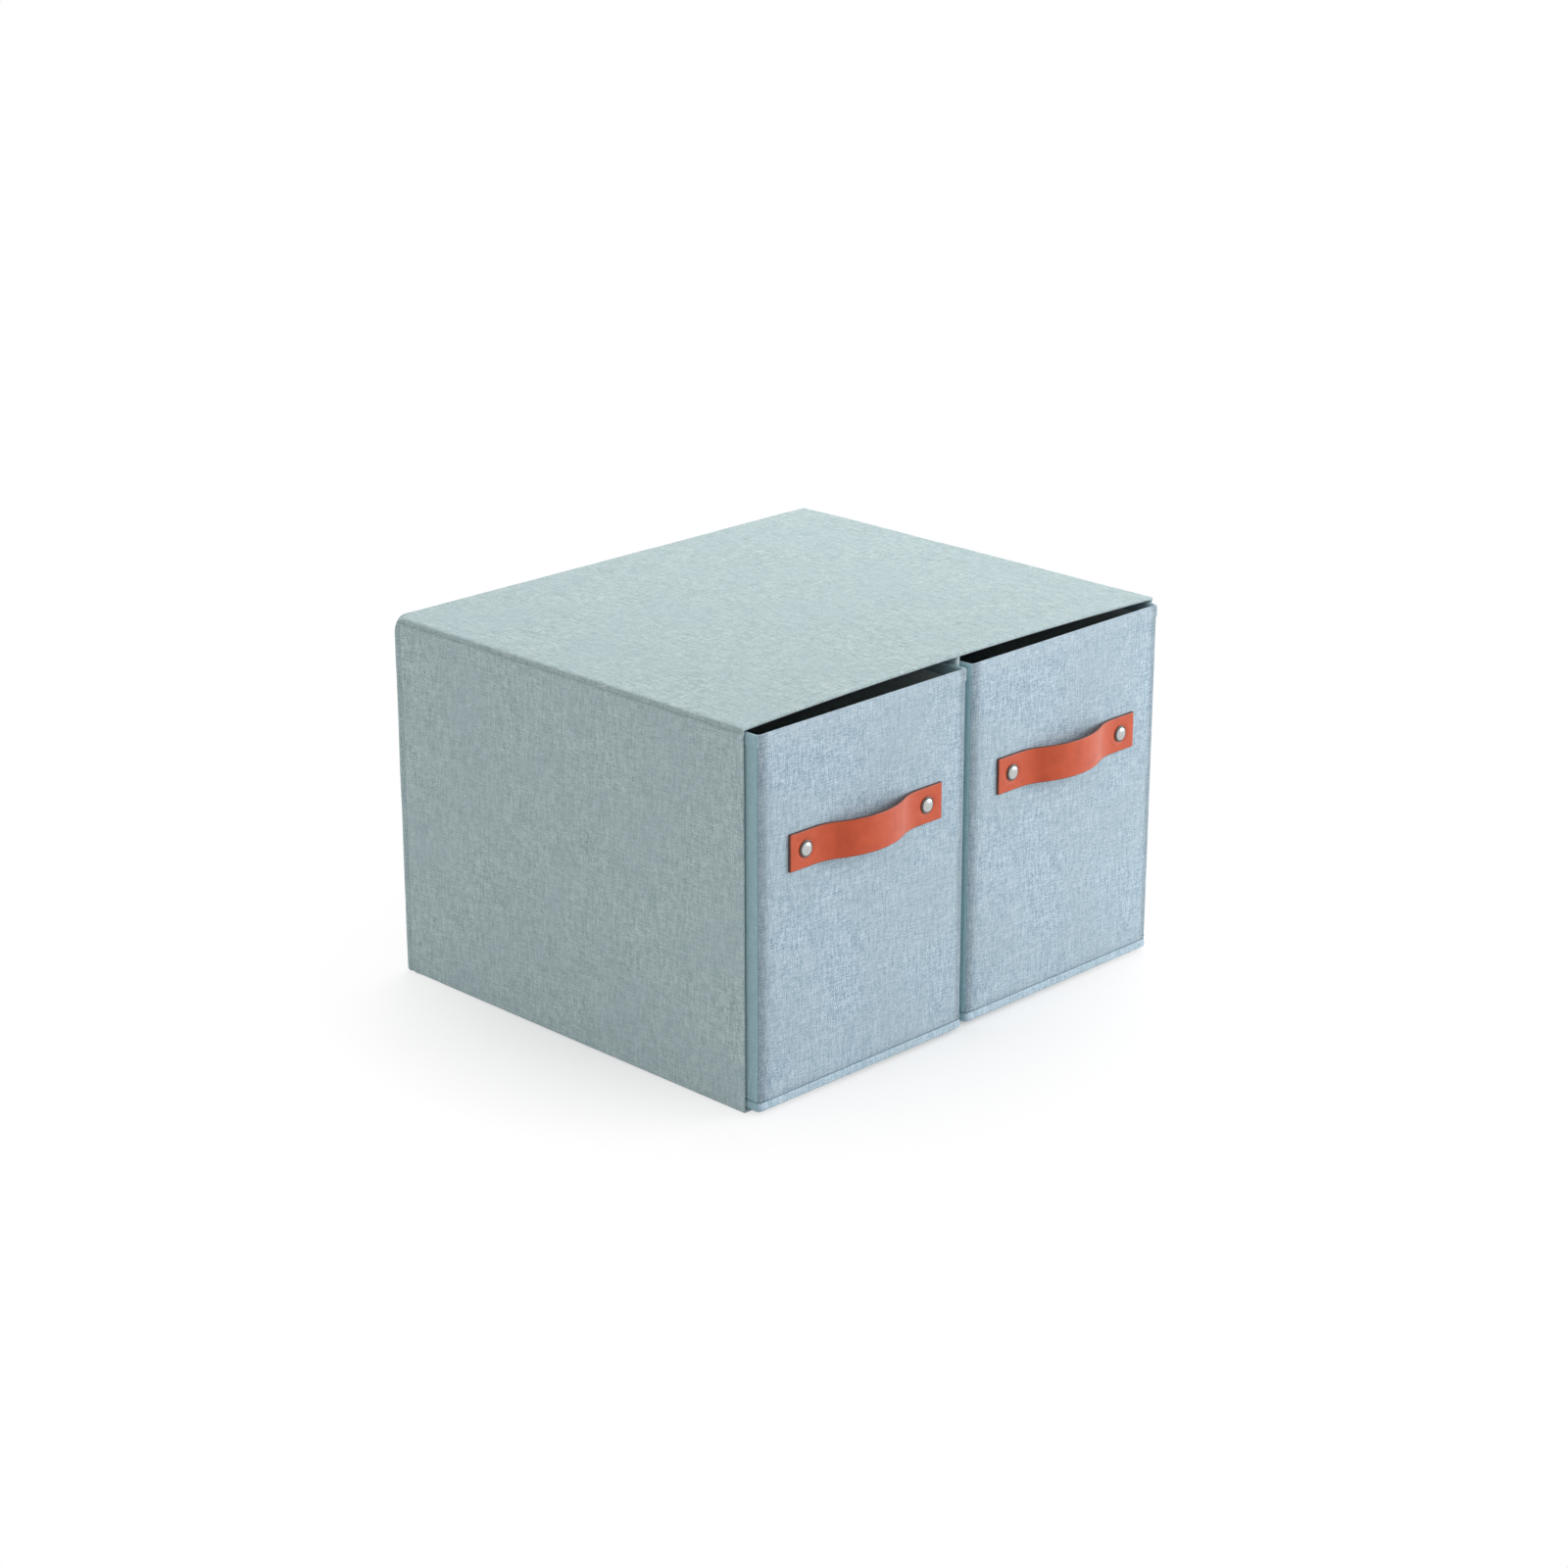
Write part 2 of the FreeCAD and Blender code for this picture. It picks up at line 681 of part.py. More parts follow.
def make_strap(name):
    """Leather strap with two flat feet and a bow between them for the fingers."""
    body = new_body(f"{name}_strap")
    thickness = size("strap_thickness")
    end = size("strap_length") / 2
    foot = end - size("strap_foot")
    bow = size("strap_bow")
    bend = size("strap_bend")
    both_radii = (foot * foot + bow * bow) / (bow * 2)
    crest = both_radii - bend
    sine = foot / both_radii
    cosine = (both_radii - bow) / both_radii
    inner_x = foot - bend * sine
    inner_y = bend * cosine - bend
    outer_x = foot - (bend - thickness) * sine
    outer_y = (bend - thickness) * cosine - bend
    side_view = [
        (-end, -thickness, None, True),
        (-foot, -thickness, bend - thickness, False),
        (-outer_x, outer_y, crest + thickness, True),
        (outer_x, outer_y, bend - thickness, False),
        (foot, -thickness, None, True),
        (end, -thickness, None, True),
        (end, ZERO, None, True),
        (foot, ZERO, bend, True),
        (inner_x, inner_y, crest, False),
        (-inner_x, inner_y, bend, True),
        (-foot, ZERO, None, True),
        (-end, ZERO, None, True)]
    sketch = new_sketch(body, "XY_Plane", STRAP_LEVEL)
    draw_outline(sketch, side_view)
    pad(body, sketch, size("strap_width"), both_ways=True)
    drill_rivet_holes(body)
    return body


def make_rivet_pair(label, outline):
    """Two turned rivet parts, one at each end of the strap."""
    body = new_body(label)
    sketch = new_sketch(body, "XY_Plane")
    draw_outline(sketch, outline)
    document.recompute()
    turned = body.newObject("PartDesign::Revolution", "Revolution")
    turned.Profile = sketch
    turned.ReferenceAxis = (origin_feature(body, "Y_Axis"), [""])
    turned.Angle = 360.0
    body.Tip = turned
    document.recompute()
    pattern = body.newObject("PartDesign::LinearPattern", "Pattern")
    pattern.Originals = [turned]
    pattern.Direction = (origin_feature(body, "X_Axis"), [""])
    pattern.Occurrences = 2
    bind(pattern, "Length", size("rivet_spacing"))
    body.Tip = pattern
    document.recompute()
    return body


def make_rivets(name):
    """Domed heads with their stems outside, and plain caps inside the drawer."""
    surface = -size("strap_thickness")
    head = size("rivet_head_radius")
    dome = size("rivet_head_dome")
    rim = surface - size("rivet_head_rim")
    dome_radius = (head * head + dome * dome) / (dome * 2)
    stem = size("rivet_stem_radius")
    stem_end = WALL + size("rivet_grip")
    heads = make_rivet_pair(f"{name}_rivet_heads", [
        (ZERO, rim - dome, dome_radius, True),
        (head, rim, None, True),
        (head, surface, None, True),
        (stem, surface, None, True),
        (stem, stem_end, None, True),
        (ZERO, stem_end, None, True)])
    back = size("rivet_back_radius")
    back_end = WALL + size("rivet_back_height")
    bore = size("rivet_hole_radius")
    backs = make_rivet_pair(f"{name}_rivet_backs", [
        (bore, WALL, None, True),
        (back, WALL, None, True),
        (back, back_end, None, True),
        (ZERO, back_end, None, True),
        (ZERO, stem_end, None, True),
        (bore, stem_end, None, True)])
    return [heads, backs]


def make_drawer(name, centre_x, front_y):
    """Every piece of one drawer, set in its place in the sleeve."""
    floor_z = WALL + size("slide_gap")
    straight = DRAWER_HALF_WIDTH - DRAWER_CORNER
    back_board = new_box(f"{name}_back_board", (centre_x - straight, centre_x + straight),
                         (front_y + DRAWER_LENGTH - CORE, front_y + DRAWER_LENGTH - CLOTH),
                         (floor_z + CORE, floor_z + WALL_TOP))
    bodies = [
        make_side_board(f"{name}_left_board", -1),
        make_side_board(f"{name}_right_board", 1),
        make_base_board(name),
        make_wall_cloth(name),
        make_base_tray(name),
        make_rim_binding(name),
        make_drawer_lining(name),
        make_front_board(name),
        make_strap(name),
    ]
    for body in bodies:
        place(body, centre_x, front_y, floor_z)
    rivets = make_rivets(name)
    for body in rivets:
        place(body, centre_x - RIVET_SIDE, front_y, floor_z + STRAP_LEVEL)
    return [back_board] + bodies + rivets


# ---------------------------------------------------------------- check and write

def check(pieces):
    """Stop if any object failed to compute or any piece is not a sound solid."""
    failed = [item.Label for item in document.Objects
              if "Invalid" in item.State or "Error" in item.State]
    if failed:
        raise RuntimeError(f"not computed: {failed}")
    for piece in pieces:
        shape = piece.Shape
        if shape.isNull() or not shape.isValid() or not shape.Solids:
            raise RuntimeError(f"{piece.Label} is not a sound solid")


def write(pieces):
    """Write each piece to a STEP file named after it."""
    os.makedirs("parts", exist_ok=True)
    for piece in pieces:
        piece.Shape.exportStep(f"parts/{piece.Label}.step")
        box = piece.Shape.BoundBox
        print(f"{piece.Label}: {len(piece.Shape.Solids)} solid(s), "
              f"x {box.XMin:.2f}..{box.XMax:.2f}, y {box.YMin:.2f}..{box.YMax:.2f}, "
              f"z {box.ZMin:.2f}..{box.ZMax:.2f}, {piece.Shape.Volume / 1000:.2f} cm3")


drawer_centre = HALF_WIDTH - size("drawer_inset") - DRAWER_HALF_WIDTH
all_pieces = (make_sleeve()
              + make_drawer("left_drawer", -drawer_centre, FRONT - size("left_drawer_pull"))
              + make_drawer("right_drawer", drawer_centre, FRONT - size("right_drawer_pull")))
document.recompute()
check(all_pieces)
write(all_pieces)
print(f"{len(all_pieces)} pieces")
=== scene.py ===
"""Dresses the cloth-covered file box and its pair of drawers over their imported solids."""

import logging
import math
from dataclasses import dataclass, field
from enum import Enum
from typing import Callable, Iterator, Optional, Sequence

import bmesh
import bpy
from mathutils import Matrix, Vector, noise


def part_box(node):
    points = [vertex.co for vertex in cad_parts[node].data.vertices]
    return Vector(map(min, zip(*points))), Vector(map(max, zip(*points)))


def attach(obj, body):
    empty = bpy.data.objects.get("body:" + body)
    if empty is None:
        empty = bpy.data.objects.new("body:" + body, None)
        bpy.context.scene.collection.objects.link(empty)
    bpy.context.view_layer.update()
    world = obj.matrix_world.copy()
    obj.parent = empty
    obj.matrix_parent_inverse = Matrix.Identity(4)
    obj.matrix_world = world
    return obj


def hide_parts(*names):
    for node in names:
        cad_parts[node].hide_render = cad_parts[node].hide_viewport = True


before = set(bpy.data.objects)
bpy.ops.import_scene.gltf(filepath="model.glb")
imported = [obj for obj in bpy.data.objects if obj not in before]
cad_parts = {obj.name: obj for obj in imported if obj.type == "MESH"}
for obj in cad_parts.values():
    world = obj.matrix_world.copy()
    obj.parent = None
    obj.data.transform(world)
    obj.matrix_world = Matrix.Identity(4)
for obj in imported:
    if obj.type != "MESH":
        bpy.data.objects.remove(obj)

logging.basicConfig(level=logging.INFO, format="%(message)s")
LOG = logging.getLogger("file_box")

MM = 0.001
FLAT_MAP = "flat_cloth"
# Vertex attribute of painted shade: the share of the cloth's colour lost in folds, seams and at
# edges, and painted light below 0.
SHADE_LAYER = "fold_shade"
MERGE = 2e-6
ON_EDGE = 1e-6
CLOSE_STEP = 2.0 * MM
SEAM_RUN = 11.2 * MM
SEAM_MARKS = (9.6, 8.0, 6.4, 4.8, 4.0, 3.2, 2.4, 1.6, 0.8, 0.0)
STITCH_SEED = 7
LINING_STEP = 8.0 * MM
LINING_FOLD = 1.2 * MM
RIVET_SHARP = 35.0
BEVEL_MIDDLE = 0.29
Colour = tuple[float, float, float]
Corner = tuple[float, float]
PointMaker = Callable[[float, float], Vector]


class Facing(Enum):
    """Which way the finished side of an open sheet looks."""

    OUTWARD = 1
    INWARD = -1


class Side(Enum):
    """The two ends of the box, as somebody who faces the drawers sees them."""

    LEFT = -1
    RIGHT = 1


# ------------------------------------------------------------------ stations and drafts


def ease(value: float) -> float:
    """A value from 0 to 1 eased at both ends, and held there outside them."""
    share = min(1.0, max(0.0, value))
    return share * share * (3.0 - 2.0 * share)


def pinch(distance: float, reach: float) -> float:
    """1 on a seam, falling smoothly to 0 at its reach."""
    share = abs(distance) / reach
    return (1.0 - share * share) ** 2 if share < 1.0 else 0.0


def spaced(start: float, end: float, step: float) -> list[float]:
    """Evenly spaced stations from start to end, both included.

    Args:
        start: First station.
        end: Last station.
        step: Largest distance between two stations.

    Returns:
        The stations in order.
    """
    count = max(1, math.ceil(abs(end - start) / step))
    return [start + (end - start) * i / count for i in range(count + 1)]


def over_fold(fold: float, count: int = 6) -> list[float]:
    """Distances from a sharp edge at which stations lie evenly round a fold of that radius."""
    return [fold * (1.0 - math.tan(math.radians(45.0 - 9.0 * k))) for k in range(count)]


def arc(step: float, count: int) -> list[float]:
    """Angles in radians, from 0 in steps given in degrees."""
    return [math.radians(step * k) for k in range(count)]


def lengths(points: Sequence[Corner]) -> list[float]:
    """Measure along a line of points.

    Args:
        points: The points in order.

    Returns:
        Distance along the line to each point, from 0 at the first.
    """
    runs = [0.0]
    for (ax, ay), (bx, by) in zip(points, points[1:]):
        runs.append(runs[-1] + math.hypot(bx - ax, by - ay))
    return runs


def hang(name: str, data: bpy.types.ID) -> bpy.types.Object:
    """Put data into the scene as an object at the origin.

    Args:
        name: Name of the object.
        data: Its mesh, camera or lamp.

    Returns:
        The object.
    """
    thing = bpy.data.objects.new(name, data)
    bpy.context.scene.collection.objects.link(thing)
    return thing


def folded(start: float, end: float, step: float, fold: float,
           at_start: bool = True, at_end: bool = True, crowd: float = 0.0) -> list[float]:
    """Stations across a flat face, crowded where the face rolls over a folded edge.

    Args:
        start: First station, on a sharp edge.
        end: Last station, on a sharp edge.
        step: Largest distance between two stations away from the folds.
        fold: Radius of the folds.
        at_start: Whether the first edge is folded.
        at_end: Whether the last edge is folded.
        crowd: How far the stations stay close together past a fold.

    Returns:
        The stations in order.
    """
    near = over_fold(fold)
    first = [start + d for d in near] if at_start else [start]
    last = [end - d for d in reversed(near)] if at_end else [end]
    low = first[-1] + (crowd if at_start else 0.0)
    high = last[0] - (crowd if at_end else 0.0)
    middle = spaced(low, high, step)
    if crowd and at_start:
        middle = spaced(first[-1], low, CLOSE_STEP)[:-1] + middle
    if crowd and at_end:
        middle += spaced(high, last[0], CLOSE_STEP)[1:]
    return first[:-1] + middle + last[1:]


class ClothDraft:
    """A mesh in the making: patches of quads with the coordinates of the cloth laid flat."""

    def __init__(self, name: str) -> None:
        """Start an empty draft.

        Args:
            name: Name of the piece that it becomes.
        """
        self.name = name
        self.mesh = bmesh.new()
        self.flat = self.mesh.loops.layers.uv.new(FLAT_MAP)
        self.shade = self.mesh.verts.layers.float.new(SHADE_LAYER)

    def patch(self, point: PointMaker, us: Sequence[float], vs: Sequence[float],
              slot_of: Optional[Callable[[int, int], int]] = None,
              flat: Optional[Callable[[float, float], tuple[float, float]]] = None,
              shade: Optional[Callable[[float, float], float]] = None) -> None:
        """Add a grid of quads.

        Args:
            point: Place of the grid's point at (u, v).
            us: Stations along the first direction.
            vs: Stations along the second direction.
            slot_of: Material slot of the quad at (column, row).
            flat: Coordinates of the flat cloth at (u, v), which are (u, v) themselves if left out.
            shade: Painted shade, how much darker the cloth is at (u, v), with painted light below
                0; none if left out.
        """
        rows = [[self.mesh.verts.new(point(u, v)) for u in us] for v in vs]
        if shade:
            for row, v in zip(rows, vs):
                for vertex, u in zip(row, us):
                    vertex[self.shade] = shade(u, v)
        for j in range(len(vs) - 1):
            for i in range(len(us) - 1):
                face = self.mesh.faces.new((rows[j][i], rows[j][i + 1],
                                            rows[j + 1][i + 1], rows[j + 1][i]))
                face.material_index = slot_of(i, j) if slot_of else 0
                corners = ((us[i], vs[j]), (us[i + 1], vs[j]),
                           (us[i + 1], vs[j + 1]), (us[i], vs[j + 1]))
                for loop, corner in zip(face.loops, corners):
                    loop[self.flat].uv = flat(*corner) if flat else corner

    def lid(self, outline: Sequence[Vector], slot: int = 0) -> None:
        """Close an outline with one flat face.

        Args:
            outline: Corners of the face in order.
            slot: Material slot of the face.
        """
        face = self.mesh.faces.new([self.mesh.verts.new(p) for p in outline])
        face.material_index = slot
        for loop in face.loops:
            loop[self.flat].uv = (loop.vert.co.x, loop.vert.co.y)

    def sewn(self, thickness: float = 0.0, facing: Facing = Facing.OUTWARD,
             centre: Optional[Vector] = None, sharp: float = 50.0) -> bpy.types.Object:
        """Merge the patches, turn the faces the right way and give the sheet its thickness.

        Args:
            thickness: Thickness of an open sheet, grown away from its finished side.
            facing: Which way the finished side of an open sheet looks.
            centre: Point inside the box that facing is judged from; left out for a closed mesh.
            sharp: Smallest angle in degrees between faces that meet in a crisp edge.

        Returns:
            The piece as an object at the origin.
        """
        bmesh.ops.remove_doubles(self.mesh, verts=self.mesh.verts, dist=MERGE)
        bmesh.ops.recalc_face_normals(self.mesh, faces=self.mesh.faces)
        if centre is not None:
            outward = sum(f.normal.dot(f.calc_center_median() - centre) * f.calc_area()
                          for f in self.mesh.faces)
            if outward * facing.value < 0.0:
                bmesh.ops.reverse_faces(self.mesh, faces=self.mesh.faces)
        data = bpy.data.meshes.new(self.name)
        self.mesh.to_mesh(data)
        self.mesh.free()
        piece = hang(self.name, data)
        if thickness:
            wall = piece.modifiers.new("thickness", "SOLIDIFY")
            wall.thickness = thickness
            wall.offset = -1.0
            wall.use_even_offset = False
            settle(piece)
        piece.data.shade_smooth()
        piece.data.set_sharp_from_angle(angle=math.radians(sharp))
        return piece


def settle(piece: bpy.types.Object) -> None:
    """Turn what a piece's modifiers make into its own plain mesh.

    Args:
        piece: The piece, whose modifiers are removed.
    """
    graph = bpy.context.evaluated_depsgraph_get()
    made = bpy.data.meshes.new_from_object(piece.evaluated_get(graph))
    made.name = piece.name
    piece.modifiers.clear()
    worn = piece.data
    piece.data = made
    bpy.data.meshes.remove(worn)


# ------------------------------------------------------------------ wiring of node trees


class Wiring:
    """A short way to add nodes to a tree and to join them."""

    def __init__(self, tree: bpy.types.NodeTree) -> None:
        """Work on that tree."""
        self.tree = tree

    def add(self, kind: str, given: Optional[dict] = None, **settings: object) -> bpy.types.Node:
        """Add a node.

        Args:
            kind: Type name of the node.
            given: Numbers or sockets for its inputs, by name or by place.
            settings: Its properties by name.

        Returns:
            The node.
        """
        node = self.tree.nodes.new(kind)
        for name, value in settings.items():
            setattr(node, name, value)
        self.give(node, given or {})
        return node

    def give(self, node: bpy.types.Node, values: dict) -> None:
        """Join or set several inputs of a node, by name or by place."""
        for label, value in values.items():
            self.feed(node.inputs[label], value)

    def feed(self, socket: bpy.types.NodeSocket, value: object) -> None:
        """Join another socket to an input, or set the input's own value.

        Args:
            socket: The input.
            value: Number, colour or other socket.
        """
        if isinstance(value, bpy.types.NodeSocket):
            self.tree.links.new(value, socket)
        else:
            socket.default_value = value

    def maths(self, operation: str, *values: object, hold: bool = False) -> bpy.types.NodeSocket:
        """One step of arithmetic.

        Args:
            operation: Blender's name of the step.
            values: Numbers or sockets that it works on.
            hold: Whether the result is held between 0 and 1.

        Returns:
            The result.
        """
        node = self.add("ShaderNodeMath", operation=operation, use_clamp=hold)
        for socket, value in zip(node.inputs, values):
            self.feed(socket, value)
        return node.outputs[0]

    def blend(self, share: object, first: object, second: object) -> bpy.types.NodeSocket:
        """A number between two others.

        Args:
            share: How much of the second number counts.
            first: Number or socket.
            second: Number or socket.

        Returns:
            The number between them.
        """
        node = self.add("ShaderNodeMix", data_type="FLOAT")
        for socket, value in zip(node.inputs[:1] + node.inputs[2:4], (share, first, second)):
            self.feed(socket, value)
        return node.outputs[0]

    def tint(self, share: object, first: object, second: object,
             mode: str = "MIX") -> bpy.types.NodeSocket:
        """A colour between two others, or one laid on the other.

        Args:
            share: How much of the second colour shows.
            first: Colour or socket.
            second: Colour or socket.
            mode: Blender's name of the way the two are mixed.

        Returns:
            The mixed colour.
        """
        node = self.add("ShaderNodeMix", data_type="RGBA", blend_type=mode)
        self.feed(node.inputs[0], share)
        for socket, value in ((node.inputs[6], first), (node.inputs[7], second)):
            self.feed(socket, (*value, 1.0) if isinstance(value, tuple) else value)
        return node.outputs[2]

    def spread(self, value: object, low: float, high: float,
               new_low: float = 0.0, new_high: float = 1.0) -> bpy.types.NodeSocket:
        """A number stretched from one range to another and held there.

        Args:
            value: The number's socket.
            low: Value that becomes new_low.
            high: Value that becomes new_high.
            new_low: Start of the new range.
            new_high: End of the new range.

        Returns:
            The number in the new range.
        """
        node = self.add("ShaderNodeMapRange", clamp=True)
        for socket, number in zip(node.inputs, (value, low, high, new_low, new_high)):
            self.feed(socket, number)
        return node.outputs[0]

    def place(self, x: object, y: object, z: object = 0.0) -> bpy.types.NodeSocket:
        """A vector from three numbers.

        Args:
            x: Number or socket.
            y: Number or socket.
            z: Number or socket.

        Returns:
            The vector.
        """
        node = self.add("ShaderNodeCombineXYZ")
        for socket, value in zip(node.inputs, (x, y, z)):
            self.feed(socket, value)
        return node.outputs[0]

    def cloud(self, where: object, scale: float, detail: float = 2.0,
              roughness: float = 0.5) -> bpy.types.NodeSocket:
        """Smooth noise from 0 to 1.

        Args:
            where: Socket that gives its coordinates.
            scale: Lumps per unit of length.
            detail: How many finer layers are laid over it.
            roughness: How strong the finer layers are.

        Returns:
            The noise.
        """
        node = self.add("ShaderNodeTexNoise", {
            "Vector": where, "Scale": scale, "Detail": detail, "Roughness": roughness},
            noise_dimensions="3D")
        return node.outputs["Fac"]

    def seen(self) -> bpy.types.NodeSocket:
        """1 for rays from the camera, from a mirror or through glass, and 0 for light."""
        rays = self.add("ShaderNodeLightPath").outputs
        return self.maths("MAXIMUM", rays["Is Camera Ray"], self.maths(
            "MAXIMUM", rays["Is Glossy Ray"], rays["Is Transmission Ray"]))


def new_group(name: str, inputs: dict[str, object],
              outputs: dict[str, str]) -> tuple[bpy.types.NodeTree, Wiring, dict, dict]:
    """Make a shader node group with named inputs and outputs.

    Args:
        name: Name of the group.
        inputs: Each input's default number, or None for a vector.
        outputs: Each output's kind, "Float" or "Color".

    Returns:
        The tree, its wiring, its input sockets and its output sockets by name.
    """
    tree = bpy.data.node_groups.new(name, "ShaderNodeTree")
    for label, value in inputs.items():
        kind = "NodeSocketVector" if value is None else "NodeSocketFloat"
        made = tree.interface.new_socket(label, in_out="INPUT", socket_type=kind)
        if value is not None:
            made.default_value = value
    for label, kind in outputs.items():
        tree.interface.new_socket(label, in_out="OUTPUT", socket_type="NodeSocket" + kind)
    wiring = Wiring(tree)
    source, sink = wiring.add("NodeGroupInput"), wiring.add("NodeGroupOutput")
    return (tree, wiring, {label: source.outputs[label] for label in inputs},
            {label: sink.inputs[label] for label in outputs})


class Effects:
    """The shader node groups that several finishes share, each built once."""

    def __init__(self) -> None:
        """Build the groups."""
        self.weave = self._weave()
        self.grain = self._grain()

    @staticmethod
    def _weave() -> bpy.types.NodeTree:
        """Plain weave of uneven yarns: tone of the yarn on top, relief and slow drift.

        Returns:
            The group.
        """
        tree, w, given, out = new_group(
            "uneven_plain_weave",
            {"Flat Cloth": None, "Warp Pitch": 0.9, "Weft Pitch": 0.9, "Slub Length": 14.0,
             "Warp Share": 0.3, "Fleck Share": 0.35, "Seed": 0.0},
            {"Tone": "Float", "Relief": "Float", "Drift": "Float"})
        parts = w.add("ShaderNodeSeparateXYZ", {0: given["Flat Cloth"]})
        across = w.maths("MULTIPLY", parts.outputs[0], 1000.0)
        along = w.maths("MULTIPLY", parts.outputs[1], 1000.0)
        warp = w.maths("DIVIDE", across, given["Warp Pitch"])
        weft = w.maths("DIVIDE", along, given["Weft Pitch"])
        warp_yarn, weft_yarn = w.maths("FLOOR", warp), w.maths("FLOOR", weft)
        warp_in, weft_in = w.maths("FRACT", warp), w.maths("FRACT", weft)
        seed = given["Seed"]

        def yarn_tone(yarn: object, run: object, shift: float) -> bpy.types.NodeSocket:
            """Tone along one set of yarns: each yarn has its own, with slubs lengthwise.

            Args:
                yarn: Socket that counts the yarns.
                run: Socket with the distance along them in millimetres.
                shift: Keeps the two sets of yarns apart.

            Returns:
                The tone, from 0 to 1.
            """
            slow = w.maths("DIVIDE", run, given["Slub Length"])
            own = w.cloud(w.place(w.maths("MULTIPLY", yarn, 7.31), slow,
                                  w.maths("ADD", seed, shift)), 1.0, 1.0)
            return w.spread(own, 0.32, 0.68)

        warp_tone = yarn_tone(warp_yarn, along, 3.7)
        weft_tone = yarn_tone(weft_yarn, across, 21.3)
        turn = w.maths("MODULO", w.maths("ABSOLUTE", w.maths("ADD", warp_yarn, weft_yarn)), 2.0)
        top = w.maths("GREATER_THAN", turn, 0.5)
        fleck = w.add("ShaderNodeTexWhiteNoise", {"Vector": w.place(warp_yarn, weft_yarn, seed)},
                      noise_dimensions="3D")
        streaks = w.blend(given["Warp Share"], w.blend(top, warp_tone, weft_tone), warp_tone)
        tone = w.blend(given["Fleck Share"], streaks, fleck.outputs["Value"])
        w.feed(out["Tone"], tone)
        round_warp = w.maths("SINE", w.maths("MULTIPLY", warp_in, math.pi))
        round_weft = w.maths("SINE", w.maths("MULTIPLY", weft_in, math.pi))
        dome = w.maths("MULTIPLY", w.maths("POWER", round_warp, 0.6),
                       w.maths("POWER", round_weft, 0.6))
        w.feed(out["Relief"], w.maths("MULTIPLY", dome, w.blend(tone, 0.7, 1.0)))
        w.feed(out["Drift"], w.spread(w.cloud(given["Flat Cloth"], 16.0, 3.0, 0.55), 0.3, 0.7))
        return tree

    @staticmethod
    def _grain() -> bpy.types.NodeTree:
        """Pebbled grain over a slow mottle.

        Returns:
            The group.
        """
        tree, w, given, out = new_group(
            "pebbled_grain", {"Where": None, "Pebble": 1400.0, "Mottle": 90.0},
            {"Relief": "Float", "Mottling": "Float"})
        cells = w.add("ShaderNodeTexVoronoi", {
            "Vector": given["Where"], "Scale": given["Pebble"], "Smoothness": 0.6},
            feature="SMOOTH_F1", voronoi_dimensions="3D")
        creases = w.add("ShaderNodeTexNoise", {
            "Vector": given["Where"], "Scale": given["Mottle"], "Detail": 6.0},
            noise_dimensions="3D")
        w.feed(out["Relief"], w.maths("ADD", w.maths("MULTIPLY", cells.outputs["Distance"], 0.6),
                                      w.maths("MULTIPLY", creases.outputs["Fac"], 0.4)))
        w.feed(out["Mottling"], w.spread(creases.outputs["Fac"], 0.32, 0.68))
        return tree


def new_material(name: str) -> tuple[bpy.types.Material, Wiring, bpy.types.Node]:
    """Make a material with a Principled shader.

    Args:
        name: Name of the material.

    Returns:
        The material, the wiring of its tree and its shader.
    """
    material = bpy.data.materials.new(name)
    material.use_nodes = True
    wiring = Wiring(material.node_tree)
    return material, wiring, material.node_tree.nodes["Principled BSDF"]


def use_group(wiring: Wiring, group: bpy.types.NodeTree, where: object,
              values: dict[str, float]) -> bpy.types.Node:
    """Place a shared effect in a material.

    Args:
        wiring: Wiring of the material's tree.
        group: The effect.
        where: Socket that gives its coordinates, its first input.
        values: Its other inputs by name.

    Returns:
        The group node.
    """
    node = wiring.add("ShaderNodeGroup", node_tree=group)
    wiring.give(node, {0: where, **values})
    return node


def bump(wiring: Wiring, shader: bpy.types.Node, height: object, depth: float,
         strength: float = 1.0) -> None:
    """Give a shader fine relief.

    Args:
        wiring: Wiring of the material's tree.
        shader: The Principled shader.
        height: Socket with the relief, from 0 to 1.
        depth: Depth of the relief in metres.
        strength: Share of it that shows.
    """
    node = wiring.add("ShaderNodeBump", {
        "Distance": depth, "Strength": strength, "Height": height})
    wiring.feed(shader.inputs["Normal"], node.outputs[0])


# ------------------------------------------------------------------ finishes


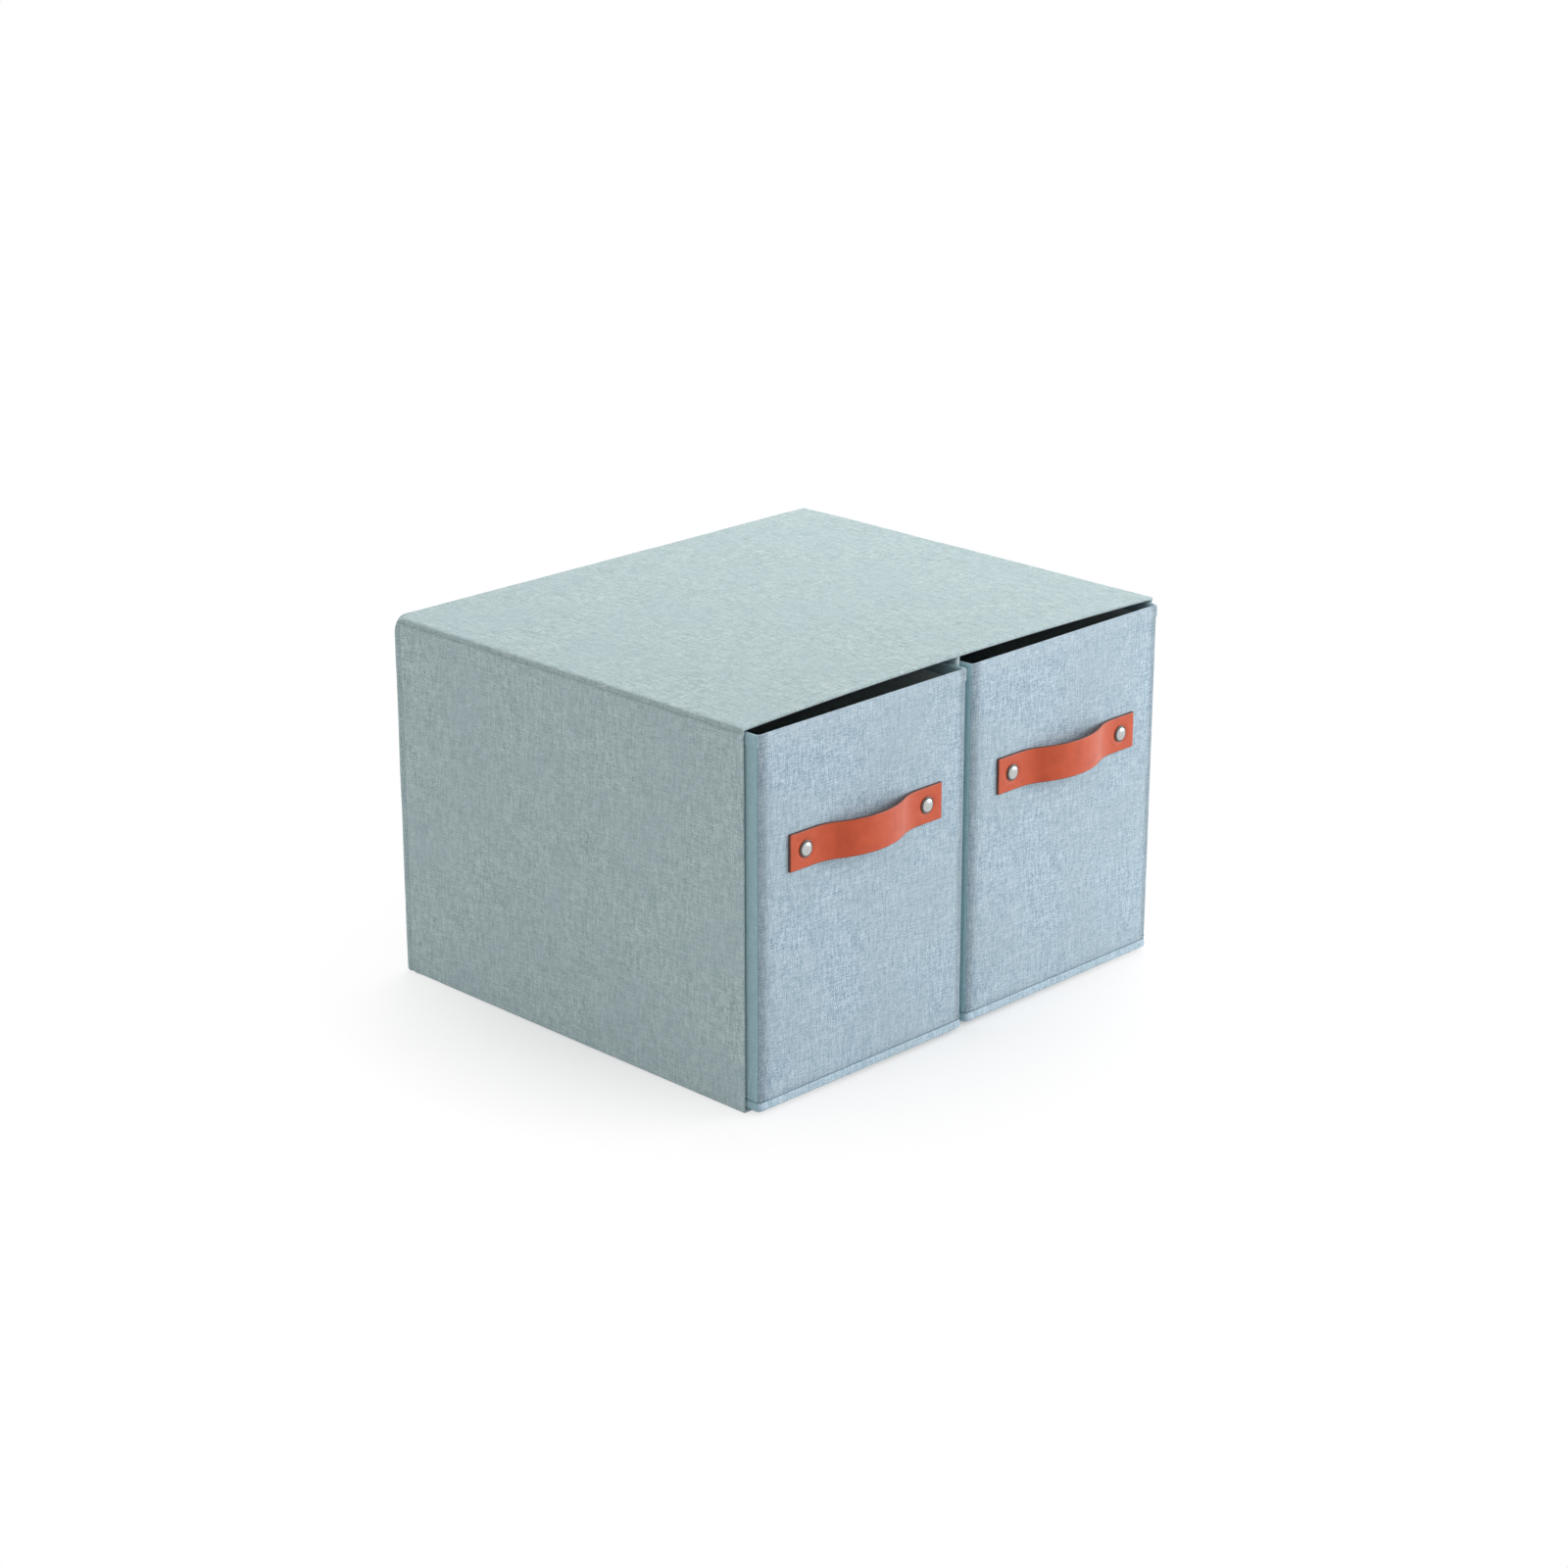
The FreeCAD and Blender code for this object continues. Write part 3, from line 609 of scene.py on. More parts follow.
@dataclass(frozen=True)
class WovenCloth:
    """Melange cloth of pale and dark yarns, glued over greyboard."""

    name: str
    pale: Colour
    dark: Colour
    drift: Colour
    seed: float = 0.0
    warp_pitch: float = 0.86
    weft_pitch: float = 0.94
    slub_length: float = 9.0
    warp_share: float = 0.16
    fleck_share: float = 0.4
    mottle: float = 0.03
    relief: float = 0.16 * MM

    def material(self, effects: Effects) -> bpy.types.Material:
        """Build the material.

        Args:
            effects: The shared shader node groups.

        Returns:
            The material.
        """
        made, w, shader = new_material(self.name)
        where = w.add("ShaderNodeUVMap", uv_map=FLAT_MAP).outputs[0]
        weave = use_group(w, effects.weave, where, {
            "Warp Pitch": self.warp_pitch, "Weft Pitch": self.weft_pitch,
            "Slub Length": self.slub_length, "Warp Share": self.warp_share,
            "Fleck Share": self.fleck_share, "Seed": self.seed})
        yarn = w.tint(weave.outputs["Tone"], self.dark, self.pale)
        shade = w.blend(weave.outputs["Relief"], 0.86, 1.05)
        shaded = w.tint(1.0, yarn, w.place(shade, shade, shade), "MULTIPLY")
        hue = w.tint(w.maths("MULTIPLY", weave.outputs["Drift"], 0.5), shaded, self.drift)
        # Painted shade from the shade attribute darkens the cloth here, and painted light lightens
        # it where the attribute is below 0.
        worn = w.add("ShaderNodeAttribute", attribute_name=SHADE_LAYER).outputs["Fac"]
        left = w.maths("SUBTRACT", w.blend(weave.outputs["Drift"], 1.0 + self.mottle,
                                           1.0 - self.mottle), worn)
        w.give(shader, {
            "Base Color": w.tint(1.0, hue, w.place(left, left, left), "MULTIPLY"),
            "Roughness": w.spread(weave.outputs["Tone"], 0.0, 1.0, 0.95, 0.82),
            "Specular IOR Level": 0.25, "Sheen Weight": 0.08, "Sheen Roughness": 0.6})
        bump(w, shader, weave.outputs["Relief"], self.relief)
        return made


@dataclass(frozen=True)
class GrainedFinish:
    """A finish between two colours, with fine grain over a slow mottle.

    rough holds the roughness at both ends of the effect that rough_by names, with its range.
    """

    name: str
    pale: Colour
    dark: Colour
    rough: tuple[float, float] = (0.7, 0.5)
    rough_by: tuple[str, float, float] = ("Mottling", 0.0, 1.0)
    pebble: float = 3200.0
    mottle: float = 600.0
    relief: float = 0.05 * MM
    strength: float = 1.0

    def evenly(self) -> dict[str, object]:
        """Shader values that are the same all over."""
        return {}

    def material(self, effects: Effects) -> bpy.types.Material:
        """Build the material.

        Args:
            effects: The shared shader node groups.

        Returns:
            The material.
        """
        made, w, shader = new_material(self.name)
        where = w.add("ShaderNodeTexCoord").outputs["Object"]
        grain = use_group(w, effects.grain, where,
                          {"Pebble": self.pebble, "Mottle": self.mottle}).outputs
        effect, low, high = self.rough_by
        w.give(shader, {"Base Color": w.tint(grain["Mottling"], self.dark, self.pale),
                        "Roughness": w.spread(grain[effect], low, high, *self.rough),
                        **self.evenly()})
        bump(w, shader, grain["Relief"], self.relief, self.strength)
        return made


@dataclass(frozen=True)
class SewingThread(GrainedFinish):
    """Twisted polyester thread."""


@dataclass(frozen=True)
class BondedLining(GrainedFinish):
    """Thin non-woven lining with a fine pressed fibre pattern."""

    rough: tuple[float, float] = (0.93, 0.8)
    pebble: float = 700.0
    mottle: float = 420.0
    relief: float = 0.12 * MM
    strength: float = 0.7

    def evenly(self) -> dict[str, object]:
        """Shader values that are the same all over."""
        return {"Specular IOR Level": 0.2}


@dataclass(frozen=True)
class Leather(GrainedFinish):
    """Smooth dyed leather of the straps, slightly darker in its grain, with a soft bloom."""

    pebble: float = 1500.0
    mottle: float = 120.0
    strength: float = 0.8
    bloom: float = 0.0

    def evenly(self) -> dict[str, object]:
        """Shader values that are the same all over."""
        return {"Sheen Weight": self.bloom, "Sheen Roughness": 0.35,
                "Sheen Tint": (1.0, 0.86, 0.80, 1.0)}


@dataclass(frozen=True)
class PolishedMetal(GrainedFinish):
    """Nickel plate of the rivets, with faint rubbing marks."""

    pebble: float = 2600.0
    mottle: float = 900.0
    relief: float = 0.004 * MM
    strength: float = 0.6

    def evenly(self) -> dict[str, object]:
        """Shader values that are the same all over."""
        return {"Metallic": 1.0}


@dataclass(frozen=True)
class Greyboard(GrainedFinish):
    """Pressed paper board with pale and dark fibres."""

    rough: tuple[float, float] = (0.95, 0.8)
    rough_by: tuple[str, float, float] = ("Relief", 0.2, 0.8)
    pebble: float = 900.0
    mottle: float = 300.0
    relief: float = 0.08 * MM


class Wardrobe:
    """Every finish of the box, made once and handed out by name."""

    def __init__(self) -> None:
        """Build the shared effects and all the materials."""
        effects = Effects()
        self.sleeve_cloth = WovenCloth(
            "sleeve_melange_cloth", (0.622, 0.722, 0.73), (0.208, 0.314, 0.332),
            (0.412, 0.534, 0.558)).material(effects)
        self.drawer_cloth = WovenCloth(
            "drawer_melange_cloth", (0.575, 0.69, 0.77), (0.15, 0.25, 0.345),
            (0.38, 0.485, 0.535), seed=40.0).material(effects)
        # Plain cloth of the drawers' other walls, with its colour also darkened by painted shade.
        self.shaded_drawer_side_cloth = WovenCloth(
            "shaded_drawer_side_cloth", (0.37, 0.53, 0.58), (0.24, 0.38, 0.43),
            (0.30, 0.47, 0.505), seed=70.0, relief=0.05 * MM).material(effects)
        # Darker cloth that paints the shade in the hem grooves and the base seams.
        self.crease_shade_cloth = WovenCloth(
            "crease_shade_cloth", (0.25, 0.36, 0.42), (0.11, 0.18, 0.23),
            (0.17, 0.27, 0.32), seed=95.0).material(effects)
        self.rim_tape = WovenCloth(
            "rim_tape_cloth", (0.585, 0.69, 0.77), (0.19, 0.29, 0.38),
            (0.40, 0.50, 0.55), seed=80.0).material(effects)
        self.lining = BondedLining(
            "bonded_lining", (0.68, 0.74, 0.75), (0.57, 0.64, 0.66)).material(effects)
        self.leather = Leather(
            "terracotta_leather", (0.50, 0.062, 0.008), (0.43, 0.046, 0.005),
            rough=(0.5, 0.42), bloom=0.5).material(effects)
        self.leather_edge = Leather(
            "painted_leather_edge", (0.13, 0.042, 0.03), (0.065, 0.025, 0.018),
            rough=(0.53, 0.45), pebble=800.0).material(effects)
        self.nickel = PolishedMetal(
            "rivet_nickel", (0.60, 0.61, 0.60), (0.46, 0.48, 0.48),
            rough=(0.3, 0.2)).material(effects)
        # Dark nickel that paints the shade round the rivets' domes.
        self.shaded_rim_nickel = PolishedMetal(
            "rivet_rim_shaded_nickel", (0.16, 0.15, 0.14), (0.10, 0.09, 0.09),
            rough=(0.5, 0.4)).material(effects)
        self.thread = SewingThread(
            "seam_thread", (0.50, 0.60, 0.62), (0.34, 0.44, 0.47)).material(effects)
        self.greyboard = Greyboard(
            "pressed_greyboard", (0.46, 0.42, 0.37), (0.36, 0.32, 0.28)).material(effects)


def dress(piece: bpy.types.Object, body: str, slot: str, replaced: Sequence[str],
          *finishes: bpy.types.Material) -> bpy.types.Object:
    """Give a piece its finishes and its body, hide the CAD nodes that it stands for and log it.

    Args:
        piece: The finished piece.
        body: Body that it moves with.
        slot: Material slot of the record; not used.
        replaced: CAD nodes that it stands for.
        finishes: Materials, in the order of the mesh's slots.

    Returns:
        The piece.
    """
    slots = piece.data.materials
    for index, finish in enumerate(finishes):
        if index < len(slots):
            slots[index] = finish
        else:
            slots.append(finish)
    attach(piece, body)
    if replaced:
        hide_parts(*replaced)
    LOG.info("%s rides on %s, %d faces", piece.name, body, len(piece.data.polygons))
    return piece


# ------------------------------------------------------------------ repeated small parts


class NodeMaker:
    """Geometry node trees for what repeats: rows of stitches and pairs of rivets."""

    def __init__(self) -> None:
        """Build the trees."""
        self.stitches = self._stitches()
        self.pair = self._pair()

    @staticmethod
    def _tree(name: str, inputs: Sequence[tuple[str, str]]) -> tuple[bpy.types.NodeTree, Wiring,
                                                                   bpy.types.Node]:
        """Start a geometry tree.

        Args:
            name: Name of the tree.
            inputs: Name and kind of each input after the geometry.

        Returns:
            The tree, its wiring and its input node.
        """
        tree = bpy.data.node_groups.new(name, "GeometryNodeTree")
        tree.interface.new_socket("Geometry", in_out="INPUT", socket_type="NodeSocketGeometry")
        for label, kind in inputs:
            tree.interface.new_socket(label, in_out="INPUT", socket_type="NodeSocket" + kind)
        tree.interface.new_socket("Geometry", in_out="OUTPUT", socket_type="NodeSocketGeometry")
        wiring = Wiring(tree)
        return tree, wiring, wiring.add("NodeGroupInput")

    @staticmethod
    def _close(w: Wiring, geometry: bpy.types.NodeSocket, finish: bpy.types.NodeSocket) -> None:
        """End a tree: make the copies real and give them their material.

        Args:
            w: Wiring of the tree.
            geometry: The copies.
            finish: Their material.
        """
        real = w.add("GeometryNodeRealizeInstances", {0: geometry})
        painted = w.add("GeometryNodeSetMaterial", {
            "Geometry": real.outputs[0], "Material": finish})
        w.add("NodeGroupOutput", {0: painted.outputs[0]})

    def _stitches(self) -> bpy.types.NodeTree:
        """A row of short stitches along the edges of the given line.

        Returns:
            The tree.
        """
        tree, w, given = self._tree("row_of_stitches", (
            ("Pitch", "Float"), ("Stitch Length", "Float"), ("Thread Width", "Float"),
            ("Slant", "Float"), ("Finish", "Material")))
        given = given.outputs
        curve = w.add("GeometryNodeMeshToCurve", {0: given["Geometry"]})
        points = w.add("GeometryNodeCurveToPoints", mode="LENGTH")
        w.give(points, {"Curve": curve.outputs[0], "Length": given["Pitch"]})
        stitch = w.add("GeometryNodeMeshUVSphere", {"Segments": 6, "Rings": 5, "Radius": 0.5})
        width, slant = given["Thread Width"], given["Slant"]
        shaped = w.add("GeometryNodeTransform", {
            "Geometry": stitch.outputs[0],
            "Scale": w.place(width, width, given["Stitch Length"])})
        along = w.add("FunctionNodeAlignRotationToVector", {"Vector": points.outputs["Tangent"]},
                      axis="Z")
        lean = w.maths("MULTIPLY", slant, -1.0)
        wobble = w.add("FunctionNodeRandomValue", {
            "Min": w.place(lean, lean, lean), "Max": w.place(slant, slant, slant),
            "Seed": STITCH_SEED}, data_type="FLOAT_VECTOR")
        to_rotation = w.add("FunctionNodeEulerToRotation", {0: wobble.outputs[0]})
        turned = w.add("FunctionNodeRotateRotation", {
            0: along.outputs[0], 1: to_rotation.outputs[0]}, rotation_space="LOCAL")
        copies = w.add("GeometryNodeInstanceOnPoints", {
            "Points": points.outputs["Points"], "Instance": shaped.outputs[0],
            "Rotation": turned.outputs[0]})
        self._close(w, copies.outputs[0], given["Finish"])
        return tree

    def _pair(self) -> bpy.types.NodeTree:
        """Two copies of a rivet part, a spacing apart, about a middle point.

        Returns:
            The tree.
        """
        tree, w, given = self._tree("rivet_pair", (
            ("Spacing", "Float"), ("Middle", "Vector"), ("Finish", "Material")))
        given = given.outputs
        half = w.maths("MULTIPLY", given["Spacing"], -0.5)
        start = w.add("ShaderNodeVectorMath", {0: given["Middle"], 1: w.place(half, 0.0, 0.0)},
                      operation="ADD")
        line = w.add("GeometryNodeMeshLine", {
            "Count": 2, "Start Location": start.outputs[0],
            "Offset": w.place(given["Spacing"], 0.0, 0.0)}, mode="OFFSET")
        copies = w.add("GeometryNodeInstanceOnPoints", {
            "Points": line.outputs[0], "Instance": given["Geometry"]})
        self._close(w, copies.outputs[0], given["Finish"])
        return tree

    @staticmethod
    def run(piece: bpy.types.Object, tree: bpy.types.NodeTree, values: dict[str, object]) -> None:
        """Replace a piece's mesh by what a tree makes of it.

        Args:
            piece: The piece whose mesh goes into the tree.
            tree: The geometry tree.
            values: Its inputs by name.
        """
        modifier = piece.modifiers.new(tree.name, "NODES")
        modifier.node_group = tree
        for item in tree.interface.items_tree:
            if item.in_out == "INPUT" and item.name in values:
                modifier[item.identifier] = values[item.name]
        settle(piece)
        piece.data.materials.clear()

    def sew(self, name: str, path: Sequence[Vector], finish: bpy.types.Material,
            pitch: float = 3.4 * MM, closed: bool = False) -> bpy.types.Object:
        """Sew a row of stitches along a path.

        Args:
            name: Name of the piece.
            path: Points that the row follows.
            finish: Material of the thread.
            pitch: Distance from stitch to stitch.
            closed: Whether the row comes back to its start.

        Returns:
            The row of stitches.
        """
        data = bpy.data.meshes.new(name)
        joins = [(i, i + 1) for i in range(len(path) - 1)]
        if closed:
            joins.append((len(path) - 1, 0))
        data.from_pydata(path, joins, [])
        piece = hang(name, data)
        self.run(piece, self.stitches, {
            "Pitch": pitch, "Stitch Length": pitch * 0.74, "Thread Width": 0.55 * MM,
            "Slant": 0.06, "Finish": finish})
        piece.data.shade_smooth()
        return piece


# ------------------------------------------------------------------ the sleeve


@dataclass
class Sleeve:
    """The outer box: boards wrapped in cloth, open at the front, with a divider inside."""

    wardrobe: Wardrobe
    makers: NodeMaker
    half_width: float = field(init=False)
    front: float = field(init=False)
    back: float = field(init=False)
    height: float = field(init=False)
    wall: float = 2.3 * MM
    cloth: float = 0.5 * MM
    crown: float = 3.5 * MM
    fold: float = 2.4 * MM
    rear_fold: float = 3.4 * MM
    base_fold: float = 2.4 * MM
    corner_run: float = 11.3 * MM
    corner_drop: float = 9.4 * MM
    right_wear: float = 0.3
    board_under: float = 0.7 * MM
    board: float = 1.3 * MM
    lining_sheet: float = 0.25 * MM
    lip: float = 0.9 * MM
    flap: float = 8.0 * MM
    skirt: float = 3.6 * MM
    back_wrap: float = 6.2 * MM
    turn_under: float = 8.0 * MM
    seam_depth: float = 0.45 * MM
    seam_reach: float = 2.8 * MM
    seam_swell: float = 0.38 * MM
    seam_line: float = 0.7 * MM
    softness: float = 0.22 * MM
    broad_lumps: float = 22.0
    fine_lumps: float = 60.0
    calm_reach: float = 12.0 * MM
    rear_start: float = 50.0 * MM
    rear_run: float = 45.0 * MM
    stitch_in: float = 2.1 * MM
    # Painted shade below the roof fold and in the seams.
    fold_shade: float = 0.12
    seam_shade: float = 0.25
    step: float = 5.0 * MM
    body: str = "sleeve"

    def __post_init__(self) -> None:
        """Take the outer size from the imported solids."""
        low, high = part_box("sleeve_roof_cover")
        self.half_width = high.x
        self.back = high.y
        self.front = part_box("sleeve_left_cover")[0].y
        self.height = low.z + self.skirt

    @property
    def centre(self) -> Vector:
        """Middle of the box."""
        return Vector((0.0, (self.front + self.back) / 2, self.height / 2))

    def crown_at(self, x: float, y: float) -> float:
        """Rise of the roof: full at the middle of the front, none at the sides and the back."""
        across = max(0.0, 1.0 - (x / (self.half_width - self.fold)) ** 2)
        along = (self.back - y) / (self.back - self.front)
        return self.crown * across * min(1.0, max(0.0, along))

    def roll_stations(self) -> list[float]:
        """Stations of the cloth that is turned in over the front edge.

        Returns:
            Places along y as if the cloth went on flat, from its hidden end to the rim.
        """
        quarter = self.lip * math.pi / 2
        flat = self.wall - 2 * self.lip
        marks = [quarter * k / 4 for k in range(5)]
        marks += [quarter + flat + quarter * k / 4 for k in range(5)]
        end = marks[-1]
        marks += [end + d for d in (1.5 * MM, 4.0 * MM, self.flap)]
        rim = self.front + self.lip
        return [rim - m for m in reversed(marks)]

    def rolled(self, run: float) -> tuple[float, float]:
        """Where the cloth lies after it turns in at the front.

        Args:
            run: Distance along the cloth past the start of the turn.

        Returns:
            Depth below the outer face, and y.
        """
        quarter = self.lip * math.pi / 2
        flat = self.wall - 2 * self.lip
        rim = self.front + self.lip
        if run <= quarter:
            angle = run / self.lip
            return self.lip * (1.0 - math.cos(angle)), rim - self.lip * math.sin(angle)
        if run <= quarter + flat:
            return self.lip + run - quarter, self.front
        if run <= 2 * quarter + flat:
            angle = (run - quarter - flat) / self.lip
            return (self.lip + flat + self.lip * math.sin(angle),
                    rim - self.lip * math.cos(angle))
        return self.wall, rim + run - 2 * quarter - flat

    def seam_dip(self, x: float, y: float, z: float) -> float:
        """How far the cloth is drawn in at a seam, less its swelling beside the seam.

        Args:
            x: Place across the sharp box.
            y: Place along it.
            z: Height on the sharp box.

        Returns:
            The depth below the face, below 0 where it swells.
        """
        away = []
        if abs(x) > self.half_width - ON_EDGE or y > self.back - ON_EDGE:
            away.append(z - (self.height - self.skirt))
        if abs(x) > self.half_width - ON_EDGE:
            away.append(y - (self.back - self.back_wrap))
        if not away:
            return 0.0
        nearest = min(away, key=abs)
        share = abs(nearest) / self.seam_reach
        return (self.seam_depth * pinch(nearest, self.seam_reach)
                - self.seam_swell * share * math.exp(1.0 - share))

    def shade(self, x: float, y: float, z: float) -> float:
        """Painted shade that darkens the cloth in its folds and seams.

        Args:
            x: Place across the sharp box.
            y: Place along it.
            z: Height on the sharp box.

        Returns:
            Share of its colour that is lost.
        """
        if abs(x) < self.half_width - ON_EDGE and y < self.back - ON_EDGE:
            return 0.0
        below = self.height - z
        fold = self.fold_shade * pinch(below - 0.6 * self.skirt, 1.1 * self.skirt)
        seam = self.seam_shade * pinch(below - self.skirt, self.seam_line)
        rear = 0.0
        if y < self.back - ON_EDGE:
            rear = self.seam_shade * pinch(self.back - self.back_wrap - y, self.seam_line)
        return max(fold, seam, rear)

    def worn(self, point: Vector, under: float = 0.0) -> Vector:
        """Draw a point in where the top rear corners are worn round, the left one more.

        Args:
            point: Point of a layer of the box.
            under: How deep that layer lies below the outer skin.

        Returns:
            The point on the rounded corner, or as it was away from the corners.
        """
        wear = 1.0 if point.x < 0.0 else self.right_wear
        run, drop = self.corner_run * wear, self.corner_drop * wear
        spare = self.rear_fold * (2.0 - math.sqrt(2.0))
        inward = self.half_width - abs(point.x) + self.back - point.y
        across = 1.0 - (inward - spare) / run
        down = min(1.0, 1.0 - (self.height - point.z) / drop)
        limit = max(0.0, 1.0 - under / drop)
        reach = math.hypot(across, down)
        if across <= 0.0 or down <= 0.0 or reach <= limit:
            return point
        loss = 1.0 - limit / reach
        slide = across * loss * run / 2
        return point - Vector((math.copysign(slide, point.x), slide, down * loss * drop))

    def skin(self, x: float, y: float, z: float, under: float = 0.0) -> Vector:
        """Point of the soft outer skin over a point of the sharp box.

        Args:
            x: Place across the sharp box.
            y: Place along it, or further forward for cloth that turns in at the front.
            z: Height on the sharp box.
            under: Depth of a smooth layer below the skin, or none for the skin itself.

        Returns:
            The point.
        """
        rim = self.front + self.lip
        run = max(0.0, rim - y)
        depth, forward = self.rolled(run) if run else (0.0, y)
        nearly_rear = ease((y - self.back + self.rear_start) / self.rear_run)
        fold = self.fold + (self.rear_fold - self.fold) * nearly_rear
        upright = self.base_fold if z < self.height / 2 else fold
        core = Vector((max(fold - self.half_width, min(self.half_width - fold, x)),
                       min(y, self.back - fold),
                       max(upright, min(self.height - upright, z))))
        away = Vector((x, y, z)) - core
        away.z *= fold / upright
        away.normalize()
        lift = -under
        if not under:
            soft = (noise.noise(Vector((x, y, z)) * self.broad_lumps)
                    + 0.5 * noise.noise(Vector((y, z, x)) * self.fine_lumps))
            calm = ease((y - self.front) / self.calm_reach) * ease(z / self.calm_reach)
            lift = self.softness * soft * calm - depth - self.seam_dip(x, y, z)
        point = core + Vector((away.x * (fold + lift), away.y * (fold + lift),
                               away.z * (upright + lift)))
        if run:
            point.y = forward
        if z > self.height / 2:
            point = self.worn(point, under)
            point.z += self.crown_at(x, forward)
        return point

    def along(self, end: float, fold_end: bool) -> list[float]:
        """Stations along y from the turned-in front edge to an end near the back.

        Args:
            end: Last station.
            fold_end: Whether the cloth is folded over there, and not sewn.

        Returns:
            The stations in order.
        """
        rim = self.front + self.lip
        run = (folded(rim, end, self.step, self.rear_fold, at_start=False,
                      crowd=self.corner_run) if fold_end
               else spaced(rim, end - SEAM_RUN, self.step) + self.to_seam(end))
        return self.roll_stations()[:-1] + run

    @staticmethod
    def to_seam(end: float) -> list[float]:
        """Close stations over the last centimetre before a seam."""
        return [end - d * MM for d in SEAM_MARKS]

    def up_wall(self) -> list[float]:
        """Stations up a wall, from its foot to the seam under the roof cloth."""
        top = self.height - self.skirt
        return (folded(0.0, top - SEAM_RUN, self.step, self.base_fold, at_end=False)
                + self.to_seam(top))

    def across(self) -> list[float]:
        """Stations along x from side to side."""
        return folded(-self.half_width, self.half_width, self.step, self.rear_fold,
                      crowd=self.corner_run)

    def hem(self, depth: float, count: int) -> list[float]:
        """Distances from a sharp edge, over its fold, to the end of a turned strip of cloth.

        Args:
            depth: Width of the strip.
            count: Number of stations on the fold.

        Returns:
            The distances in order.
        """
        return over_fold(self.rear_fold, count) + [depth - 1.0 * MM, depth - 0.5 * MM, depth]

    def roof_cloth(self) -> bpy.types.Object:
        """Sew the cloth over the roof, with skirts down the sides and the back.

        Returns:
            The cloth.
        """
        draft = ClothDraft("sleeve_roof_cloth")
        w, h, b = self.half_width, self.height, self.back
        ys, xs = self.along(b, True), self.across()
        drops = self.hem(self.skirt, 4)
        draft.patch(lambda u, v: self.skin(u, v, h), xs, ys)
        for side in Side:
            us = [side.value * (w + d) for d in drops]
            draft.patch(lambda u, v, s=side.value: self.skin(s * w, v, h - (abs(u) - w)), us, ys,
                        flat=lambda u, v: (v, u),
                        shade=lambda u, v, s=side.value: self.shade(s * w, v, h - (abs(u) - w)))
        draft.patch(lambda u, v: self.skin(u, b, h - (v - b)), xs, [b + d for d in drops],
                    shade=lambda u, v: self.shade(u, b, h - (v - b)))
        return draft.sewn(self.cloth, centre=self.centre)

    def side_cloth(self, side: Side) -> bpy.types.Object:
        """Sew the cloth of one side wall, turned in at the front and under the box.

        Args:
            side: Which wall it covers.

        Returns:
            The cloth.
        """
        draft = ClothDraft(f"sleeve_{side.name.lower()}_cloth")
        w = self.half_width * side.value
        ys = self.along(self.back - self.back_wrap, False)
        draft.patch(lambda u, v: self.skin(w, v, u), self.up_wall(), ys,
                    flat=lambda u, v: (v, u), shade=lambda u, v: self.shade(w, v, u))
        unders = over_fold(self.fold) + [self.turn_under]
        draft.patch(lambda u, v: self.skin(w - side.value * abs(u), v, 0.0),
                    [-d for d in unders], ys, flat=lambda u, v: (v, u))
        return draft.sewn(self.cloth, centre=self.centre)

    def back_cloth(self) -> bpy.types.Object:
        """Sew the cloth of the back wall, wrapped round both upright edges and under the box.

        Returns:
            The cloth.
        """
        draft = ClothDraft("sleeve_back_cloth")
        w, b = self.half_width, self.back
        xs, zs, runs = self.across(), self.up_wall(), self.hem(self.back_wrap, 5)
        draft.patch(lambda u, v: self.skin(u, b, v), xs, zs, shade=lambda u, v: self.shade(u, b, v))
        for side in Side:
            draft.patch(lambda u, v, s=side.value: self.skin(s * w, b - (abs(u) - w), v),
                        [side.value * (w + d) for d in runs], zs,
                        shade=lambda u, v, s=side.value: self.shade(s * w, b - (abs(u) - w), v))
        draft.patch(lambda u, v: self.skin(u, b + v, 0.0), xs, [-d for d in runs])
        return draft.sewn(self.cloth, centre=self.centre)

    def underside_cloth(self) -> bpy.types.Object:
        """Sew the cloth under the box, turned in over the front edge of the floor board.

        Returns:
            The cloth.
        """
        draft = ClothDraft("sleeve_underside_cloth")
        reach = self.half_width - self.turn_under
        ys = self.along(self.back - self.back_wrap, False)
        draft.patch(lambda u, v: self.skin(u, v, 0.0), spaced(-reach, reach, self.step), ys)
        return draft.sewn(self.cloth, centre=self.centre)

    def boards(self) -> dict[str, bpy.types.Object]:
        """Cut the boards of the roof, the sides and the back, trimmed at the worn corners.

        Returns:
            Each board by the CAD node that it stands for.
        """
        w, h, b = self.half_width, self.height, self.back
        crowd = self.corner_run
        rim, rear, flat = self.front + self.lip, b - self.rear_fold, w - self.rear_fold
        ys = spaced(rim, rear - crowd, self.step)[:-1] + spaced(rear - crowd, rear, CLOSE_STEP)
        xs = (spaced(-flat, crowd - flat, CLOSE_STEP)[:-1]
              + spaced(crowd - flat, flat - crowd, self.step)
              + spaced(flat - crowd, flat, CLOSE_STEP)[1:])
        top = h - self.rear_fold
        zs = (spaced(self.base_fold, top - crowd, self.step)[:-1]
              + spaced(top - crowd, top, CLOSE_STEP))
        faces = {"roof": (lambda u, v: (u, v, h), xs, ys), "back": (lambda u, v: (u, b, v), xs, zs)}
        for side in Side:
            faces[side.name.lower()] = (lambda u, v, s=side.value: (s * w, v, u), zs, ys)
        made = {}
        for name, (place, us, vs) in faces.items():
            draft = ClothDraft(f"sleeve_{name}_greyboard")
            draft.patch(lambda u, v, p=place: self.skin(*p(u, v), under=self.board_under), us, vs)
            made[f"sleeve_{name}_board"] = draft.sewn(self.board, centre=self.centre)
        return made

